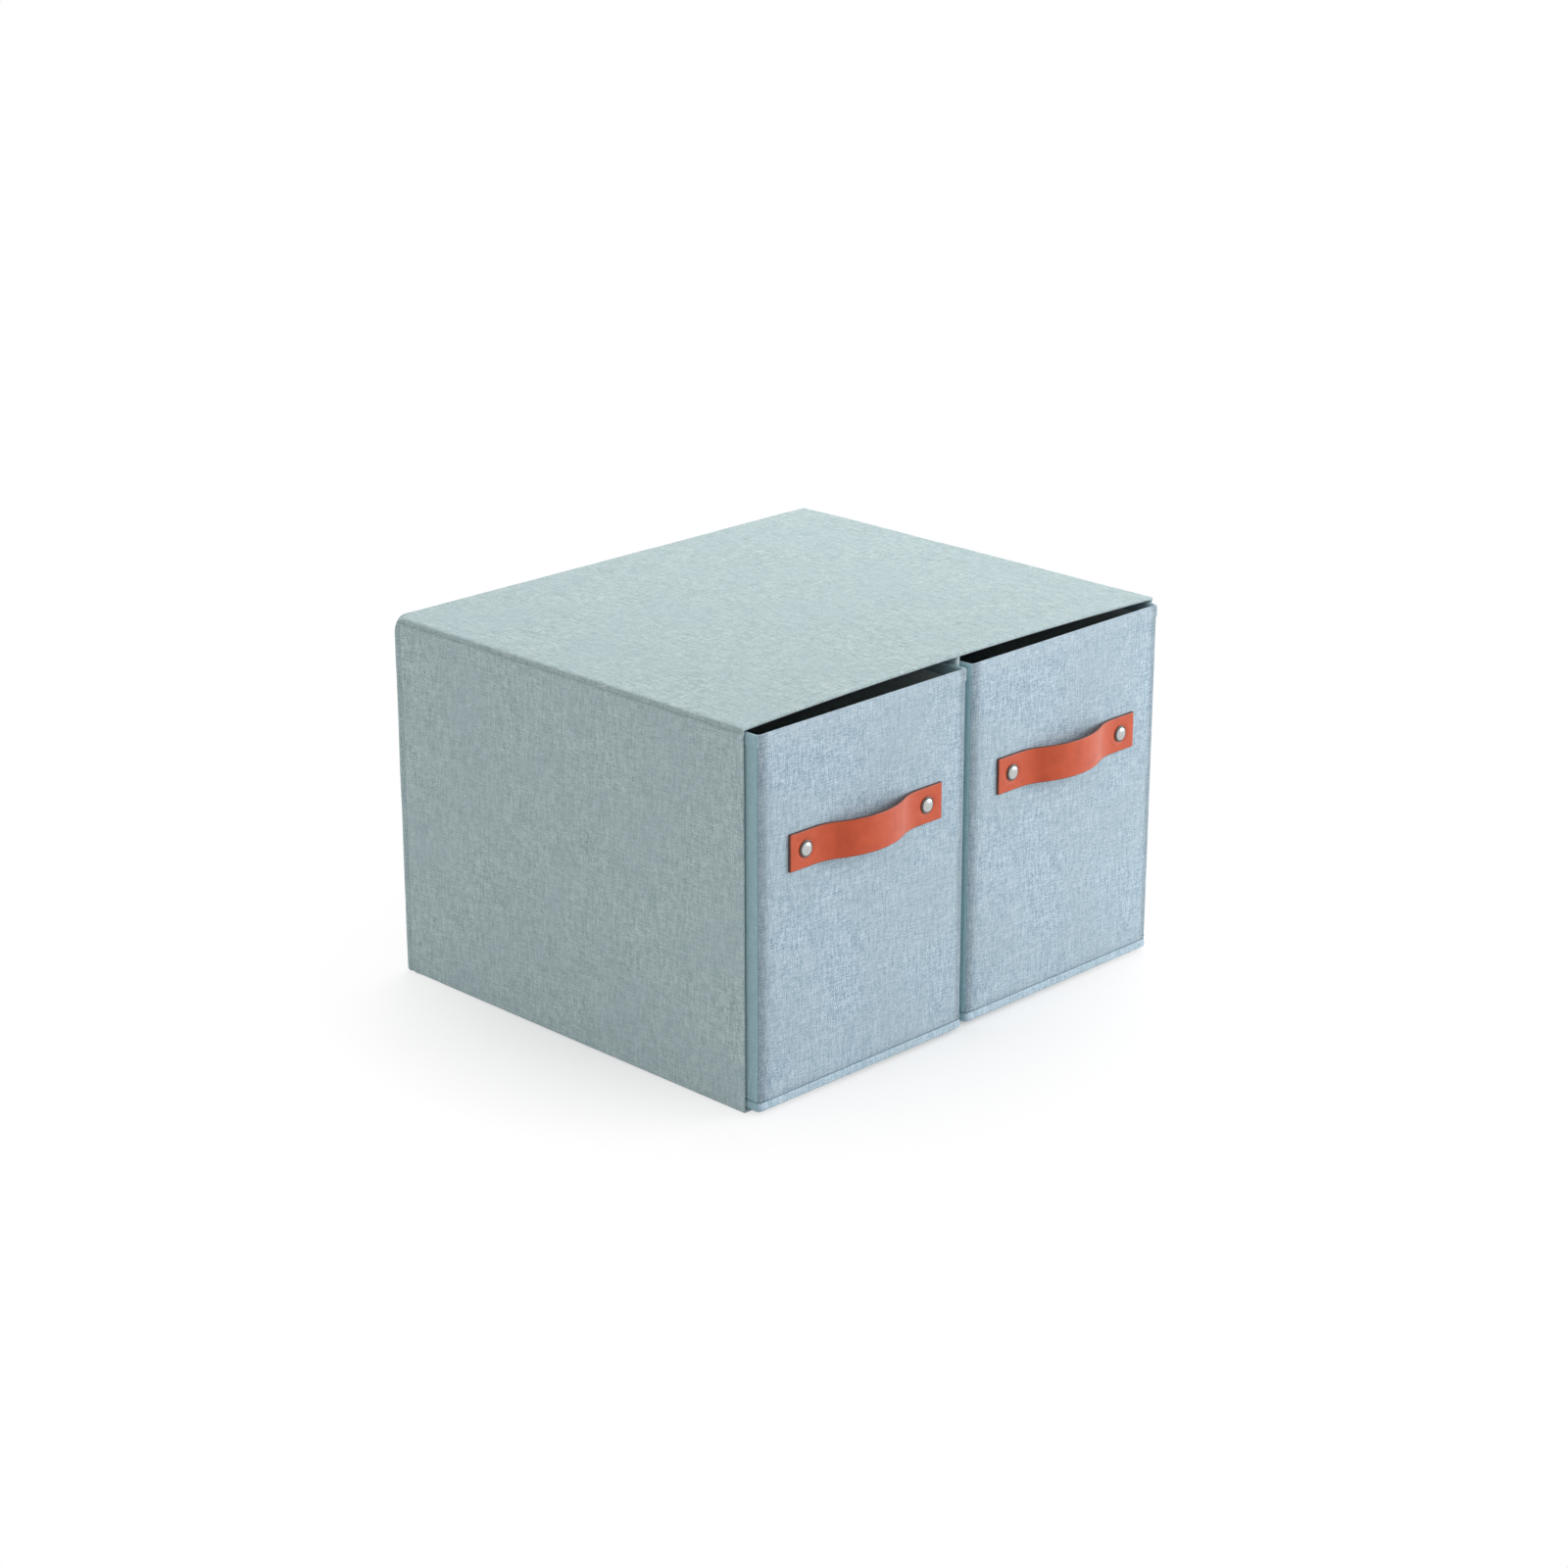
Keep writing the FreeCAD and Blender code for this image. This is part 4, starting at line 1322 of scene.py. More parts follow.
    def wall_lining(self) -> bpy.types.Object:
        """Fold the lining of the floor, both sides and the back from one sheet.

        Returns:
            The lining.
        """
        draft = ClothDraft("sleeve_wall_lining_sheet")
        w = self.half_width - self.wall
        b, floor = self.back - self.wall, self.wall
        top = self.height - self.wall
        fold = LINING_FOLD

        def inner(x: float, y: float, z: float) -> Vector:
            """Point of the lining, with its inner creases rounded.

            Args:
                x: Place across the sharp box inside.
                y: Place along it.
                z: Height on it.

            Returns:
                The point.
            """
            core = Vector((max(fold - w, min(w - fold, x)), min(y, b - fold),
                           max(floor + fold, z)))
            away = Vector((x, y, z)) - core
            return self.worn(core + away.normalized() * fold, self.wall)

        crowd = self.corner_run
        xs = folded(-w, w, LINING_STEP, fold, crowd=crowd)
        ys = self.lining_depths()
        zs = (folded(floor, top - crowd, LINING_STEP, fold, at_end=False)
              + spaced(top - crowd, top, CLOSE_STEP)[1:])
        draft.patch(lambda u, v: inner(u, v, floor), xs, ys)
        draft.patch(lambda u, v: inner(u, b, v), xs, zs)
        for side in Side:
            draft.patch(lambda u, v, s=side.value: inner(s * w, u, v), ys, zs)
        return draft.sewn(self.lining_sheet, Facing.INWARD, self.centre)

    def lining_depths(self) -> list[float]:
        """Stations along y of the linings, from behind the turned-in cloth to the back."""
        start = self.front + self.lip + self.flap + 0.3 * MM
        return folded(start, self.back - self.wall, LINING_STEP, LINING_FOLD, at_start=False,
                      crowd=self.corner_run)

    def ceiling_lining(self) -> bpy.types.Object:
        """Lay the lining under the crowned roof board.

        Returns:
            The lining.
        """
        draft = ClothDraft("sleeve_ceiling_lining_sheet")
        level = self.height - self.wall
        reach = self.half_width - self.wall
        xs = folded(-reach, reach, LINING_STEP, LINING_FOLD, crowd=self.corner_run)
        draft.patch(lambda u, v: (self.worn(Vector((u, v, level)), self.wall)
                                  + Vector((0.0, 0.0, self.crown_at(u, v)))),
                    xs, self.lining_depths())
        return draft.sewn(self.lining_sheet, Facing.INWARD, self.centre)

    def divider_wrap(self) -> bpy.types.Object:
        """Wrap the cloth round the divider's front edge and both its faces.

        Returns:
            The cloth.
        """
        low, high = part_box("sleeve_divider_cloth")
        draft = ClothDraft("sleeve_divider_wrap")
        half = (high.x - low.x) / 2
        nose = half * 0.9
        ceiling = self.height - self.wall - 0.15 * MM
        plan = [(-half, y) for y in spaced(high.y, low.y + nose, LINING_STEP)]
        plan += [(-half * math.cos(a), low.y + nose - nose * math.sin(a))
                 for a in arc(15.0, 12)[1:]]
        plan += [(half, y) for y in spaced(low.y + nose, high.y, LINING_STEP)]
        stations = lengths(plan)
        where = dict(zip(stations, plan))

        def wrap(s: float, rise: float) -> Vector:
            """Point of the wrap at a distance along it and a share of its height."""
            x, y = where[s]
            return Vector((x, y, low.z + rise * (ceiling + self.crown_at(0.0, y) - low.z)))

        draft.patch(wrap, stations, spaced(0.0, 1.0, 0.04),
                    flat=lambda s, rise: (s, rise * (ceiling - low.z)))
        return draft.sewn(self.cloth - 0.1 * MM,
                          centre=Vector((0.0, 0.02, self.height / 2)))

    def back_seam(self, side: Side) -> bpy.types.Object:
        """Sew down the edge of the back cloth where it wraps round a side.

        Args:
            side: Which side of the box.

        Returns:
            The row of stitches.
        """
        place = self.back - self.back_wrap + self.stitch_in
        path = [self.skin(side.value * self.half_width, place, z)
                + Vector((side.value * 0.05 * MM, 0.0, 0.0))
                for z in spaced(5.0 * MM, self.height - self.skirt - 3.0 * MM, 4.0 * MM)]
        return self.makers.sew(f"sleeve_{side.name.lower()}_back_stitches", path,
                               self.wardrobe.thread)

    def build(self) -> None:
        """Make every visible piece of the sleeve and dress it."""
        cloth, lining = self.wardrobe.sleeve_cloth, self.wardrobe.lining
        dress(self.roof_cloth(), self.body, "cover_cloth", ["sleeve_roof_cover"], cloth)
        for side in Side:
            name = side.name.lower()
            dress(self.side_cloth(side), self.body, "cover_cloth", [f"sleeve_{name}_cover"], cloth)
            dress(self.back_seam(side), self.body, "cover_cloth", [], self.wardrobe.thread)
        dress(self.back_cloth(), self.body, "cover_cloth", ["sleeve_back_cover"], cloth)
        dress(self.underside_cloth(), self.body, "cover_cloth", ["sleeve_base_cloth"], cloth)
        dress(self.wall_lining(), self.body, "lining", ["sleeve_wall_lining"], lining)
        dress(self.ceiling_lining(), self.body, "lining", ["sleeve_roof_lining"], lining)
        dress(self.divider_wrap(), self.body, "cover_cloth", ["sleeve_divider_cloth"], cloth)
        for node, board in self.boards().items():
            dress(board, self.body, "greyboard", [node], self.wardrobe.greyboard)


# ------------------------------------------------------------------ a drawer


@dataclass(frozen=True)
class Station:
    """One place on a drawer's outline in plan, with the outward direction there."""

    run: float
    x: float
    y: float
    out_x: float
    out_y: float


@dataclass
class Drawer:
    """One open-topped drawer: boards wrapped in cloth, with a riveted leather strap."""

    side: Side
    wardrobe: Wardrobe
    makers: NodeMaker
    corner: float = 3.8 * MM
    cloth: float = 0.5 * MM
    wall: float = 2.3 * MM
    base_round: float = 1.7 * MM
    band_gap: float = 0.4 * MM
    band_proud: float = 0.4 * MM
    tape: float = 0.5 * MM
    rim_height: float = 8.0 * MM
    softness: float = 0.15 * MM
    pillow: float = 0.38 * MM
    groove: float = 0.44 * MM
    edge_reach: float = 12.0 * MM
    # Painted shade at the front's edges and corners and over the base seam.
    edge_shade: float = 0.10
    corner_shade: float = 0.24
    corner_from_hem: float = 3.4 * MM
    corner_reach: float = 4.5 * MM
    seam_shade: float = 0.12
    seam_reach: float = 2.6 * MM
    swell_rise: float = 20.0 * MM
    lumps: float = 18.0
    # Painted light on the front's band of the base cloth.
    band_light: float = 0.12
    close: float = 1.6 * MM
    step: float = 5.0 * MM
    left: float = field(init=False)
    right: float = field(init=False)
    front: float = field(init=False)
    back: float = field(init=False)
    bottom: float = field(init=False)
    seam: float = field(init=False)
    top: float = field(init=False)
    outline: list[Station] = field(init=False)
    hems: list[float] = field(init=False)

    def __post_init__(self) -> None:
        """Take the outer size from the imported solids."""
        low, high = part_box(f"{self.body}_wall_cloth")
        self.left, self.front = low.x, low.y
        self.right, self.back = high.x, high.y
        self.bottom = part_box(f"{self.body}_base_cloth")[0].z
        self.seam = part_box(f"{self.body}_base_cloth")[1].z + self.band_gap / 2
        self.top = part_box(f"{self.body}_rim_binding")[1].z
        self.outline = list(self._outline())
        self.hems = [s.run for s in self.outline if abs(s.out_y + math.sqrt(0.5)) < ON_EDGE]

    @property
    def body(self) -> str:
        """Name of the body that the drawer's pieces ride on."""
        return f"{self.side.name.lower()}_drawer"

    @property
    def centre_x(self) -> float:
        """Middle of the drawer from side to side."""
        return (self.left + self.right) / 2

    def _outline(self) -> Iterator[Station]:
        """Walk round the drawer, from the middle of its back and round by its left side.

        Yields:
            The stations in order.
        """
        r = self.corner
        corners = ((self.left + r, self.back - r, 90.0), (self.left + r, self.front + r, 180.0),
                   (self.right - r, self.front + r, 270.0), (self.right - r, self.back - r, 0.0))
        points: list[tuple[float, float, float]] = []
        at = (self.centre_x, self.back)
        for cx, cy, start in corners + ((self.centre_x, self.back - r, 90.0),):
            first = (cx + r * math.cos(math.radians(start)), cy + r * math.sin(math.radians(start)))
            length = math.hypot(first[0] - at[0], first[1] - at[1])
            near = [self.close * k for k in range(4)]
            flat = near[:-1] + spaced(near[-1], length - near[-1], self.step)
            for d in flat + [length - n for n in reversed(near[1:-1])]:
                points.append((at[0] + (first[0] - at[0]) * d / length,
                               at[1] + (first[1] - at[1]) * d / length, start))
            for k in range(12 if cx != self.centre_x else 1):
                angle = start + 90.0 * k / 12
                points.append((cx + r * math.cos(math.radians(angle)),
                               cy + r * math.sin(math.radians(angle)), angle))
            at = (cx + r * math.cos(math.radians(start + 90.0)),
                  cy + r * math.sin(math.radians(start + 90.0)))
        run, before = 0.0, points[0]
        for x, y, angle in points:
            run += math.hypot(x - before[0], y - before[1])
            before = (x, y, angle)
            yield Station(run, x, y, math.cos(math.radians(angle)), math.sin(math.radians(angle)))

    def from_hem(self, place: Station) -> float:
        """Distance round the drawer from the nearer hem of the front cloth, below 0 off it."""
        return min(place.run - self.hems[0], self.hems[1] - place.run)

    def near_hem(self, place: Station) -> float:
        """1 on a hem of the front cloth, falling to 0 over the edge of the front."""
        away = self.from_hem(place)
        return 1.0 - ease(away / self.edge_reach) if away > 0.0 else 0.0

    def shade(self, place: Station, z: float) -> float:
        """Share of its colour that the wall cloth loses to painted shade at its edges and over the
        base seam.

        Args:
            place: Station on the outline.
            z: Height.

        Returns:
            The share.
        """
        corner = self.from_hem(place) - self.corner_from_hem
        return (self.edge_shade * self.near_hem(place)
                + self.corner_shade * pinch(corner, self.corner_reach)
                + self.seam_shade * pinch(z - self.seam, self.seam_reach))

    def slack(self, place: Station, z: float) -> float:
        """How far the wall cloth lies inside its flat face, from its softness.

        Args:
            place: Station on the outline.
            z: Height.

        Returns:
            The distance, below 0 where the cloth stands out.
        """
        height = (ease((z - self.seam) / self.swell_rise)
                  * ease((self.top - self.rim_height - z) / self.swell_rise))
        where = Vector((place.x, place.y, z)) * self.lumps + Vector((0.0, 0.0, self.left))
        soft = noise.noise(where)
        lie = self.softness * height * soft
        away = self.from_hem(place)
        if abs(away) < ON_EDGE:
            return self.groove
        if away < 0.0:
            return max(0.0, lie)
        lie += self.pillow * (1.0 - 2.0 * ease(away / self.edge_reach))
        return min(lie, self.groove)

    def at(self, place: Station, inset: float, z: float) -> Vector:
        """Point a distance inside the outline at a height."""
        return Vector((place.x - place.out_x * inset, place.y - place.out_y * inset, z))

    def swept(self, name: str, loop: Sequence[Corner],
              finish: Optional[Callable[[int, int], int]] = None,
              shade: Optional[Callable[[Station, float], float]] = None,
              inset_of: Optional[Callable[[Station, float, float], float]] = None,
              tray: bool = False) -> bpy.types.Object:
        """Sweep a section round the drawer.

        Args:
            name: Name of the piece.
            loop: Inset and height of each corner of the section, in order.
            finish: Material slot of the quad at (column, row).
            shade: Painted shade, how much darker the cloth is at (station, height), with painted
                light below 0.
            inset_of: Inset used at (station, inset, height), which is the inset itself if left out.
            tray: Whether the section ends under the drawer, with a flat face inside both ends.

        Returns:
            The closed piece.
        """
        draft = ClothDraft(f"{self.body}_{name}")
        runs = lengths(loop)
        place = {s.run: s for s in self.outline}
        cut = dict(zip(runs, loop))

        def point(u: float, v: float) -> Vector:
            """Point at a run round the drawer and a run round the section."""
            inset, z = cut[v]
            return self.at(place[u], inset_of(place[u], inset, z) if inset_of else inset, z)

        draft.patch(point, [s.run for s in self.outline], runs, finish,
                    shade=(lambda u, v: shade(place[u], cut[v][1])) if shade else None)
        if tray:
            for inset, z in (loop[0], loop[-1]):
                draft.lid([self.at(s, inset, z) for s in self.outline[:-1]])
        return draft.sewn()

    def from_hems(self, column: int) -> list[float]:
        """Distance from the nearer hem at both ends of one column of quads, in order of size."""
        return sorted(self.from_hem(s) for s in self.outline[column:column + 2])

    def around(self, name: str, section: Sequence[Corner],
               slack: bool = False) -> bpy.types.Object:
        """Sweep a closed section round the four walls.

        Args:
            name: Name of the piece.
            section: Inset and height of each corner of the section, in order.
            slack: Whether the corners of inset 0 follow the softness of the cloth, and the hems
            and the base seam have the darker cloth of a painted crease shade.

        Returns:
            The closed piece.
        """
        loop = [*section, section[0]]

        def inset_of(place: Station, inset: float, z: float) -> float:
            """Inset of a corner, by the softness of the cloth on a slack outer face."""
            return self.slack(place, z) if slack and inset == 0.0 else inset

        def finish(column: int, row: int) -> int:
            """Finish of a quad: 0 on the front, 1 on the other walls, 2 the painted crease shade in
            a hem or the base seam.

            Args:
                column: Column of the quad round the drawer.
                row: Its row round the section.

            Returns:
                The material slot.
            """
            low, high = self.from_hems(column)
            seamed = max(loop[row][1], loop[row + 1][1]) < self.seam + 0.4 * MM
            if slack and (seamed or (low < -ON_EDGE < high)):
                return 2
            return 1 if low < -ON_EDGE else 0

        return self.swept(name, loop, finish, self.shade, inset_of)

    def wall_cloth(self) -> bpy.types.Object:
        """Wrap the cover cloth round the four walls, drawn in at the base seam.

        Returns:
            The cloth.
        """
        low, high = self.seam, self.top - 0.6 * MM
        outer = [(0.45 * MM, low), (0.26 * MM, low + 0.35 * MM), (0.1 * MM, low + 0.9 * MM)]
        outer += [(0.0, z) for z in spaced(low + 1.7 * MM, high, self.step)]
        inner = [(0.6 * MM, z) for z in spaced(high, low, 30.0 * MM)]
        return self.around("wall_cloth_wrap", outer + inner, slack=True)

    def base_cloth(self) -> bpy.types.Object:
        """Lay the cloth under the drawer, its edge turned up in a band to the base seam.

        Returns:
            The cloth.
        """
        r, low, high, proud = self.base_round, self.bottom, self.seam, self.band_proud
        thin, bends = r - self.cloth, arc(15.0, 7)
        outer = [(self.corner - 0.1 * MM, low), (r + 1.2 * MM, low)]
        outer += [(r - (r + proud) * math.sin(a), low + r - r * math.cos(a)) for a in bends]
        outer += [(-proud, low + 3.4 * MM), (-proud * 0.7, high - 1.4 * MM),
                  (-proud * 0.2, high - 0.7 * MM), (0.2 * MM, high - 0.25 * MM), (0.45 * MM, high)]
        inner = [(self.cloth + 0.1 * MM, high), (self.cloth + 0.1 * MM, low + r)]
        inner += [(r - thin * math.sin(a), low + r - thin * math.cos(a))
                  for a in reversed(bends[:-1])]
        inner += [(self.corner - 0.1 * MM, low + self.cloth)]
        loop = outer + inner

        def finish(column: int, row: int) -> int:
            """0 on the front's band, 1 the painted crease shade in the base seam, 2 on the band
            round the other walls.
            """
            if min(loop[row][1], loop[row + 1][1]) > high - 0.3 * MM:
                return 1
            return 2 if self.from_hems(column)[0] < -ON_EDGE else 0

        def shade(place: Station, _z: float) -> float:
            """Painted light: lighten the band on the front."""
            return -self.band_light if self.from_hem(place) >= 0.0 else 0.0

        return self.swept("base_cloth_tray", loop, finish, shade, tray=True)

    def rim_binding(self) -> bpy.types.Object:
        """Fold the tape over the top edge of all four walls.

        Returns:
            The tape.
        """
        foot = self.top - self.rim_height
        half = self.wall / 2 + self.tape
        middle = self.wall / 2
        crest = self.top - half
        bends = arc(18.0, 11)
        outer = [(-0.12 * MM, foot), (-self.tape + 0.12 * MM, foot + 0.1 * MM),
                 (-self.tape, foot + 0.5 * MM)]
        outer += [(-self.tape, z) for z in spaced(foot + 1.2 * MM, crest - 0.5 * MM, 2.0 * MM)]
        outer += [(middle - half * math.cos(a), crest + half * math.sin(a)) for a in bends]
        far = self.wall + self.tape
        outer += [(far, z) for z in spaced(crest - 0.5 * MM, foot + 0.5 * MM, 2.0 * MM)]
        outer += [(self.wall + 0.12 * MM, foot), (self.wall - 0.1 * MM, foot + 0.2 * MM)]
        thin = half - self.tape
        inner = [(middle + thin * math.cos(a), crest + thin * math.sin(a)) for a in bends]
        inner += [(0.1 * MM, foot + 0.2 * MM)]
        return self.around("rim_binding_tape", outer + inner)

    def lining(self) -> bpy.types.Object:
        """Lay the lining of the floor and the four walls.

        Returns:
            The lining.
        """
        inset, low, high = self.wall, self.bottom + self.wall, self.top - LINING_FOLD
        r, thin, bends = LINING_FOLD, 0.3 * MM, arc(22.5, 5)
        inner = [(self.corner - 0.1 * MM, low)]
        inner += [(inset + r - r * math.sin(a), low + r - r * math.cos(a)) for a in bends]
        inner += [(inset, z) for z in spaced(low + 2 * r, high, LINING_STEP)]
        outer = [(inset - thin, high), (inset - thin, low + r)]
        outer += [(inset + r - (r + thin) * math.sin(a), low + r - (r + thin) * math.cos(a))
                  for a in reversed(bends[:-1])]
        outer += [(self.corner - 0.1 * MM, low - thin)]
        return self.swept("lining_sheet", inner + outer, tray=True)

    def stitches(self, name: str, inset: float, z: float) -> bpy.types.Object:
        """Sew a row of stitches all round the drawer.

        Args:
            name: Name of the row.
            inset: How far it lies inside the outline.
            z: Height.

        Returns:
            The row of stitches.
        """
        path = [self.at(s, inset, z) for s in self.outline[:-1]]
        return self.makers.sew(f"{self.body}_{name}", path, self.wardrobe.thread, closed=True)

    def build(self) -> None:
        """Make every visible piece of the drawer and dress it."""
        look, body = self.wardrobe, self.body
        dress(self.wall_cloth(), body, "cover_cloth", [f"{body}_wall_cloth"],
              look.drawer_cloth, look.shaded_drawer_side_cloth, look.crease_shade_cloth)
        dress(self.base_cloth(), body, "cover_cloth", [f"{body}_base_cloth"],
              look.drawer_cloth, look.crease_shade_cloth, look.shaded_drawer_side_cloth)
        dress(self.rim_binding(), body, "rim_tape", [f"{body}_rim_binding"],
              look.rim_tape, look.shaded_drawer_side_cloth)
        dress(self.lining(), body, "lining", [f"{body}_lining"], look.lining)
        dress(self.stitches("rim_stitches", -self.tape + 0.05 * MM,
                            self.top - self.rim_height + 1.6 * MM),
              body, "rim_tape", [], look.thread)
        dress(self.stitches("base_stitches", -0.02 * MM, self.seam + 2.0 * MM), body,
              "cover_cloth", [], look.thread)
        Strap(self, look, self.makers).build()


@dataclass
class Strap:
    """A leather strap bowed away from the drawer's front, with its pair of rivets."""

    drawer: Drawer
    wardrobe: Wardrobe
    makers: NodeMaker
    thickness: float = 2.2 * MM
    foot: float = 20.5 * MM
    bend: float = 36.0 * MM
    bevel: float = 0.35 * MM
    spacing: float = 107.0 * MM
    dimple: float = 0.4 * MM
    dimple_run: float = 2.6 * MM
    pace: float = 1.1 * MM
    stem_radius: float = 2.0 * MM
    stem_length: float = 4.9 * MM
    head_radius: float = 5.5 * MM
    crown: float = 4.3 * MM
    back_radius: float = 5.0 * MM
    ribs: int = 22
    middle: Vector = field(init=False)
    length: float = field(init=False)
    width: float = field(init=False)
    bow: float = field(init=False)

    def __post_init__(self) -> None:
        """Take the strap's place and size from its solid."""
        low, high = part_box(f"{self.drawer.body}_strap")
        self.length, self.width = high.x - low.x, high.z - low.z
        self.bow = high.y - low.y - self.thickness
        self.middle = Vector(((low.x + high.x) / 2, high.y, (low.z + high.z) / 2))

    def bowed(self, x: float) -> float:
        """How far the strap's rear face stands off the drawer.

        Args:
            x: Distance from the strap's middle.

        Returns:
            The distance: 0 on the flat ends, then an outward bend, then the round middle.
        """
        half = self.length / 2 - self.foot
        from_foot = half - abs(x)
        if from_foot <= 0.0:
            return 0.0
        both_radii = (half * half + self.bow * self.bow) / (2.0 * self.bow)
        if from_foot < self.bend * half / both_radii:
            return self.bend - math.sqrt(self.bend ** 2 - from_foot ** 2)
        crest = both_radii - self.bend
        return self.bow - crest + math.sqrt(crest ** 2 - x ** 2)

    def section(self, shrink: float = 0.0) -> list[tuple[float, float]]:
        """Height and depth of each corner of the strap's cross section.

        Args:
            shrink: How much smaller the section is all round.

        Returns:
            Corners in order, depth measured forward from the rear face.
        """
        half, deep, b = self.width / 2 - shrink, self.thickness - shrink, self.bevel
        low = shrink
        rise = [(half - b) * (2.0 * k / self.ribs - 1.0) for k in range(self.ribs + 1)]
        corners = [(z, deep) for z in rise]
        inside = b * BEVEL_MIDDLE
        corners += [(half - inside, deep - inside), (half, deep - b)]
        corners += [(half, low + b), (half - inside, low + inside)]
        corners += [(z, low) for z in reversed(rise)]
        corners += [(-half + inside, low + inside), (-half, low + b)]
        corners += [(-half, deep - b), (-half + inside, deep - inside)]
        return corners

    def pressed(self, x: float, z: float) -> float:
        """How deep the leather is pressed in round a rivet."""
        away = math.hypot(abs(x) - self.spacing / 2, z)
        return self.dimple * (1.0 - ease((away - self.head_radius) / self.dimple_run))

    def leather(self) -> bpy.types.Object:
        """Cut the strap itself.

        Returns:
            The strap.
        """
        draft = ClothDraft(f"{self.drawer.body}_strap_leather")
        half = self.length / 2
        xs = ([-half, -half + self.bevel] + spaced(-half + 1.2 * MM, half - 1.2 * MM, self.pace)
              + [half - self.bevel, half])
        ring = self.section()
        small = self.section(self.bevel * 0.8)
        count = len(ring)
        broad = self.ribs + 1

        def point(u: float, v: float) -> Vector:
            """Point at a place along the strap and a corner of its section.

            Args:
                u: Distance from the strap's middle.
                v: Number of the corner.

            Returns:
                The point.
            """
            index = int(v) % count
            end = abs(u) > half - 0.5 * self.bevel
            z, depth = small[index] if end else ring[index]
            slope = (self.bowed(u + 0.1 * MM) - self.bowed(u - 0.1 * MM)) / (0.2 * MM)
            tilt = math.atan(slope)
            lift = depth - (self.pressed(u, z) if depth > self.thickness * 0.6 else 0.0)
            return self.middle + Vector((u + lift * math.sin(tilt),
                                         -self.bowed(u) - lift * math.cos(tilt), z))

        def finish(column: int, row: int) -> int:
            """0 on the broad faces, 1 on the painted edges."""
            end = column in (0, len(xs) - 2)
            face = row < broad - 1 or broad + 3 <= row < 2 * broad + 2
            return 1 if end or not face else 0

        draft.patch(point, xs, [float(k) for k in range(count + 1)], slot_of=finish,
                    flat=lambda u, v: (u, v * self.pace))
        for end in (-half, half):
            draft.lid([point(end, float(k)) for k in range(count)], slot=1)
        return draft.sewn(sharp=60.0)

    @staticmethod
    def turned(name: str, profile: Sequence[tuple[float, float]],
               sides: int = 40) -> bpy.types.Object:
        """Turn a profile about the y axis.

        Args:
            name: Name of the piece.
            profile: Radius and y of each corner, from the axis and back to it.
            sides: Number of facets round the axis.

        Returns:
            The closed piece, on the axis through the origin.
        """
        draft = ClothDraft(name)
        angles = [2.0 * math.pi * k / sides for k in range(sides + 1)]
        draft.patch(lambda a, k: Vector((profile[int(k)][0] * math.cos(a), profile[int(k)][1],
                                         profile[int(k)][0] * math.sin(a))),
                    angles, [float(k) for k in range(1, len(profile) - 1)])
        tips = (profile[0], profile[1]), (profile[-1], profile[-2])
        for tip, ring in tips:
            for a, b in zip(angles, angles[1:]):
                draft.lid([Vector((0.0, tip[1], 0.0)),
                           Vector((ring[0] * math.cos(a), ring[1], ring[0] * math.sin(a))),
                           Vector((ring[0] * math.cos(b), ring[1], ring[0] * math.sin(b)))])
        return draft.sewn(sharp=RIVET_SHARP)

    def heads(self) -> bpy.types.Object:
        """Turn the two domed caps in front of the leather, with their stems.

        Returns:
            The pair.
        """
        rim, dome, r = 0.5 * MM, 1.3 * MM, self.head_radius
        crown = self.crown
        profile = [(0.0, -rim - dome)]
        profile += [(crown * math.sin(math.radians(a)),
                     -rim - 0.15 * MM - (dome - 0.15 * MM) * math.cos(math.radians(a)))
                    for a in range(10, 91, 10)]
        profile += [(crown + 0.05 * MM, -rim + 0.1 * MM), (r - 0.35 * MM, -rim + 0.02 * MM),
                    (r - 0.1 * MM, -rim + 0.18 * MM), (r, 0.0), (r, self.dimple),
                    (self.stem_radius, self.dimple), (self.stem_radius, self.stem_length),
                    (0.0, self.stem_length)]
        piece = self.turned(f"{self.drawer.body}_rivet_caps", profile)
        self.makers.run(piece, self.makers.pair, {
            "Spacing": self.spacing, "Finish": self.wardrobe.nickel,
            "Middle": self.middle + Vector((0.0, -self.thickness, 0.0))})
        return piece

    def backs(self) -> bpy.types.Object:
        """Turn the two caps inside the drawer.

        Returns:
            The pair.
        """
        r, high = self.back_radius, 1.4 * MM
        profile = [(0.0, high * 0.72), (0.9 * MM, high * 0.76), (1.5 * MM, high * 0.98),
                   (2.2 * MM, high), (3.4 * MM, high * 0.93), (4.3 * MM, high * 0.7),
                   (r - 0.2 * MM, high * 0.38), (r, high * 0.18), (r, 0.0), (0.0, 0.0)]
        piece = self.turned(f"{self.drawer.body}_rivet_back_caps", profile)
        face = self.middle + Vector((0.0, self.drawer.wall, 0.0))
        self.makers.run(piece, self.makers.pair, {
            "Spacing": self.spacing, "Finish": self.wardrobe.nickel, "Middle": face})
        return piece

    def shade_rims(self, piece: bpy.types.Object) -> None:
        """Give the flat rims round the domes a dark nickel of painted shade.

        Args:
            piece: The pair of caps.
        """
        for face in piece.data.polygons:
            away = abs(face.center.x - self.middle.x) - self.spacing / 2
            if math.hypot(away, face.center.z - self.middle.z) > self.crown + 0.02 * MM:
                face.material_index = 1

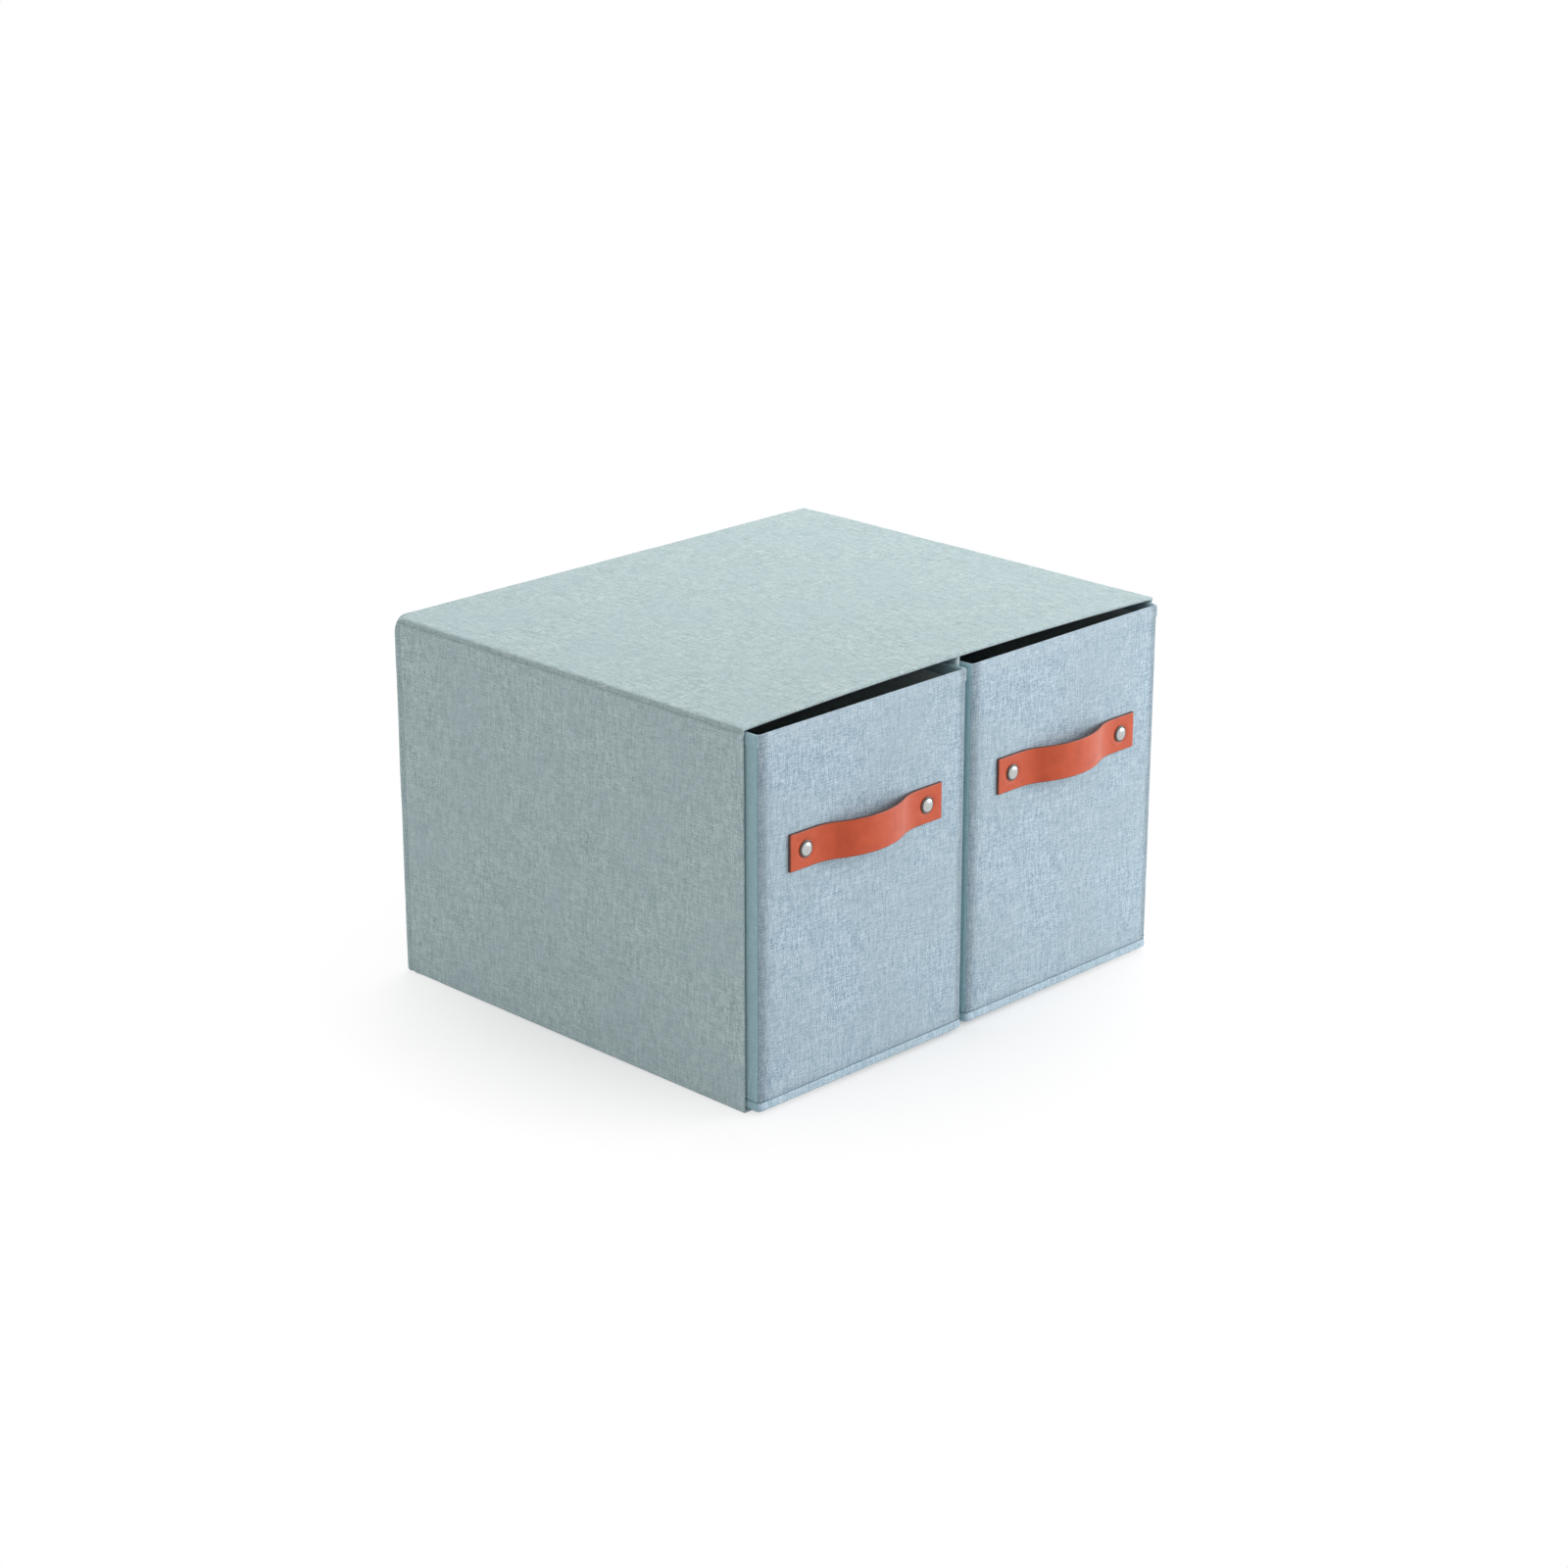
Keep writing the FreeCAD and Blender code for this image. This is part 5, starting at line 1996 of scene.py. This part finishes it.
    def build(self) -> None:
        """Make the strap and its rivets and dress them."""
        body, look = self.drawer.body, self.wardrobe
        dress(self.leather(), body, "strap_leather", [f"{body}_strap"],
              look.leather, look.leather_edge)
        for piece, node in ((self.heads(), "rivet_heads"), (self.backs(), "rivet_backs")):
            piece.data.shade_smooth()
            piece.data.set_sharp_from_angle(angle=math.radians(RIVET_SHARP))
            dress(piece, body, "rivet_metal", [f"{body}_{node}"], look.nickel, look.shaded_rim_nickel)
            self.shade_rims(piece)


# ------------------------------------------------------------------ the boards


def dress_boards(wardrobe: Wardrobe) -> None:
    """Give the carried-over boards their greyboard finish.

    Args:
        wardrobe: The finishes.
    """
    for name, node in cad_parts.items():
        if name.endswith("_board") and not node.hide_render:
            node.data.materials.clear()
            node.data.materials.append(wardrobe.greyboard)
            LOG.info("%s keeps its packed shape", name)


# ------------------------------------------------------------------ the studio


@dataclass(frozen=True)
class Softbox:
    """A large soft lamp that faces the box."""

    name: str
    place: tuple[float, float, float]
    size: float
    power: float
    colour: Colour


@dataclass
class Studio:
    """Pale floor, soft plain light and the camera."""

    image: float = 1600.0
    focal: float = 3502.0
    azimuth: float = -45.22
    elevation: float = 19.73
    camera: tuple[float, float, float] = (-1.5202, -1.5157, 0.8945)
    ambient: float = 0.79
    lamps: tuple[Softbox, ...] = (
        Softbox("overhead_softbox", (0.85, 0.6, 1.25), 1.1, 10.5, (1.0, 0.985, 0.955)),
        Softbox("right_softbox", (1.9, -1.5, 0.75), 1.3, 42.0, (1.0, 0.99, 0.985)))

    def set_camera(self) -> None:
        """Make the camera."""
        data = bpy.data.cameras.new("studio_camera")
        data.sensor_width = 36.0
        data.lens = self.focal * data.sensor_width / self.image
        eye = hang("studio_camera", data)
        eye.location = self.camera
        eye.rotation_euler = (math.radians(90.0 - self.elevation), 0.0,
                              math.radians(self.azimuth))
        bpy.context.scene.camera = eye

    def set_lamps(self) -> None:
        """Hang the softboxes."""
        aim = Vector((0.0, 0.0, 0.12))
        for lamp in self.lamps:
            data = bpy.data.lights.new(lamp.name, "AREA")
            data.shape = "SQUARE"
            data.size = lamp.size
            data.energy = lamp.power
            data.color = lamp.colour
            box = hang(lamp.name, data)
            box.location = lamp.place
            box.rotation_euler = (aim - Vector(lamp.place)).to_track_quat("-Z", "Y").to_euler()

    def set_world(self) -> None:
        """Soft light from all round; white where the camera and reflections look at it."""
        world = bpy.data.worlds.new("studio_air")
        bpy.context.scene.world = world
        world.use_nodes = True
        w = Wiring(world.node_tree)
        air = world.node_tree.nodes["Background"]
        w.give(air, {"Color": (1.0, 1.0, 1.0, 1.0),
                     "Strength": w.blend(w.seen(), self.ambient, 1.0)})

    def set_floor(self) -> None:
        """Lay a pale floor that fades into the white air away from the box."""
        mesh = bmesh.new()
        rings = [0.0, 0.3, 0.6, 1.0, 2.0, 6.0, 25.0]
        sides = 48
        hub = mesh.verts.new((0.0, 0.0, 0.0))
        circles = [[mesh.verts.new((r * math.cos(2 * math.pi * k / sides),
                                    r * math.sin(2 * math.pi * k / sides), 0.0))
                    for k in range(sides)] for r in rings[1:]]
        for k in range(sides):
            mesh.faces.new((hub, circles[0][k], circles[0][(k + 1) % sides]))
            for inner, outer in zip(circles, circles[1:]):
                mesh.faces.new((inner[k], outer[k], outer[(k + 1) % sides],
                                inner[(k + 1) % sides]))
        data = bpy.data.meshes.new("studio_floor")
        mesh.to_mesh(data)
        mesh.free()
        floor = hang("studio_floor", data)
        material, w, shader = new_material("pale_floor")
        where = w.add("ShaderNodeTexCoord").outputs["Object"]
        reach = w.add("ShaderNodeVectorMath", {0: where}, operation="LENGTH")
        air = w.add("ShaderNodeEmission")
        seen = w.seen()
        tone = w.tint(w.cloud(where, 3.0), (0.97, 0.97, 0.97), (0.99, 0.99, 0.99))
        w.give(shader, {"Base Color": w.tint(seen, (0.80, 0.80, 0.80), tone),
                        "Roughness": 0.9, "Specular IOR Level": 0.1})
        fade = w.spread(reach.outputs["Value"], 0.08, 0.32)
        mixed = w.add("ShaderNodeMixShader", {
            0: w.maths("MULTIPLY", fade, seen), 1: shader.outputs[0], 2: air.outputs[0]})
        w.feed(material.node_tree.nodes["Material Output"].inputs["Surface"], mixed.outputs[0])
        data.materials.append(material)

    def build(self) -> None:
        """Set up the whole studio."""
        bpy.context.scene.view_settings.view_transform = "Standard"
        self.set_camera()
        self.set_lamps()
        self.set_world()
        self.set_floor()


def main() -> None:
    """Build the box, its drawers and the studio, in that order."""
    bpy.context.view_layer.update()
    wardrobe, makers = Wardrobe(), NodeMaker()
    Sleeve(wardrobe, makers).build()
    for side in Side:
        Drawer(side, wardrobe, makers).build()
    dress_boards(wardrobe)
    Studio().build()


if __name__ == "__main__":
    main()
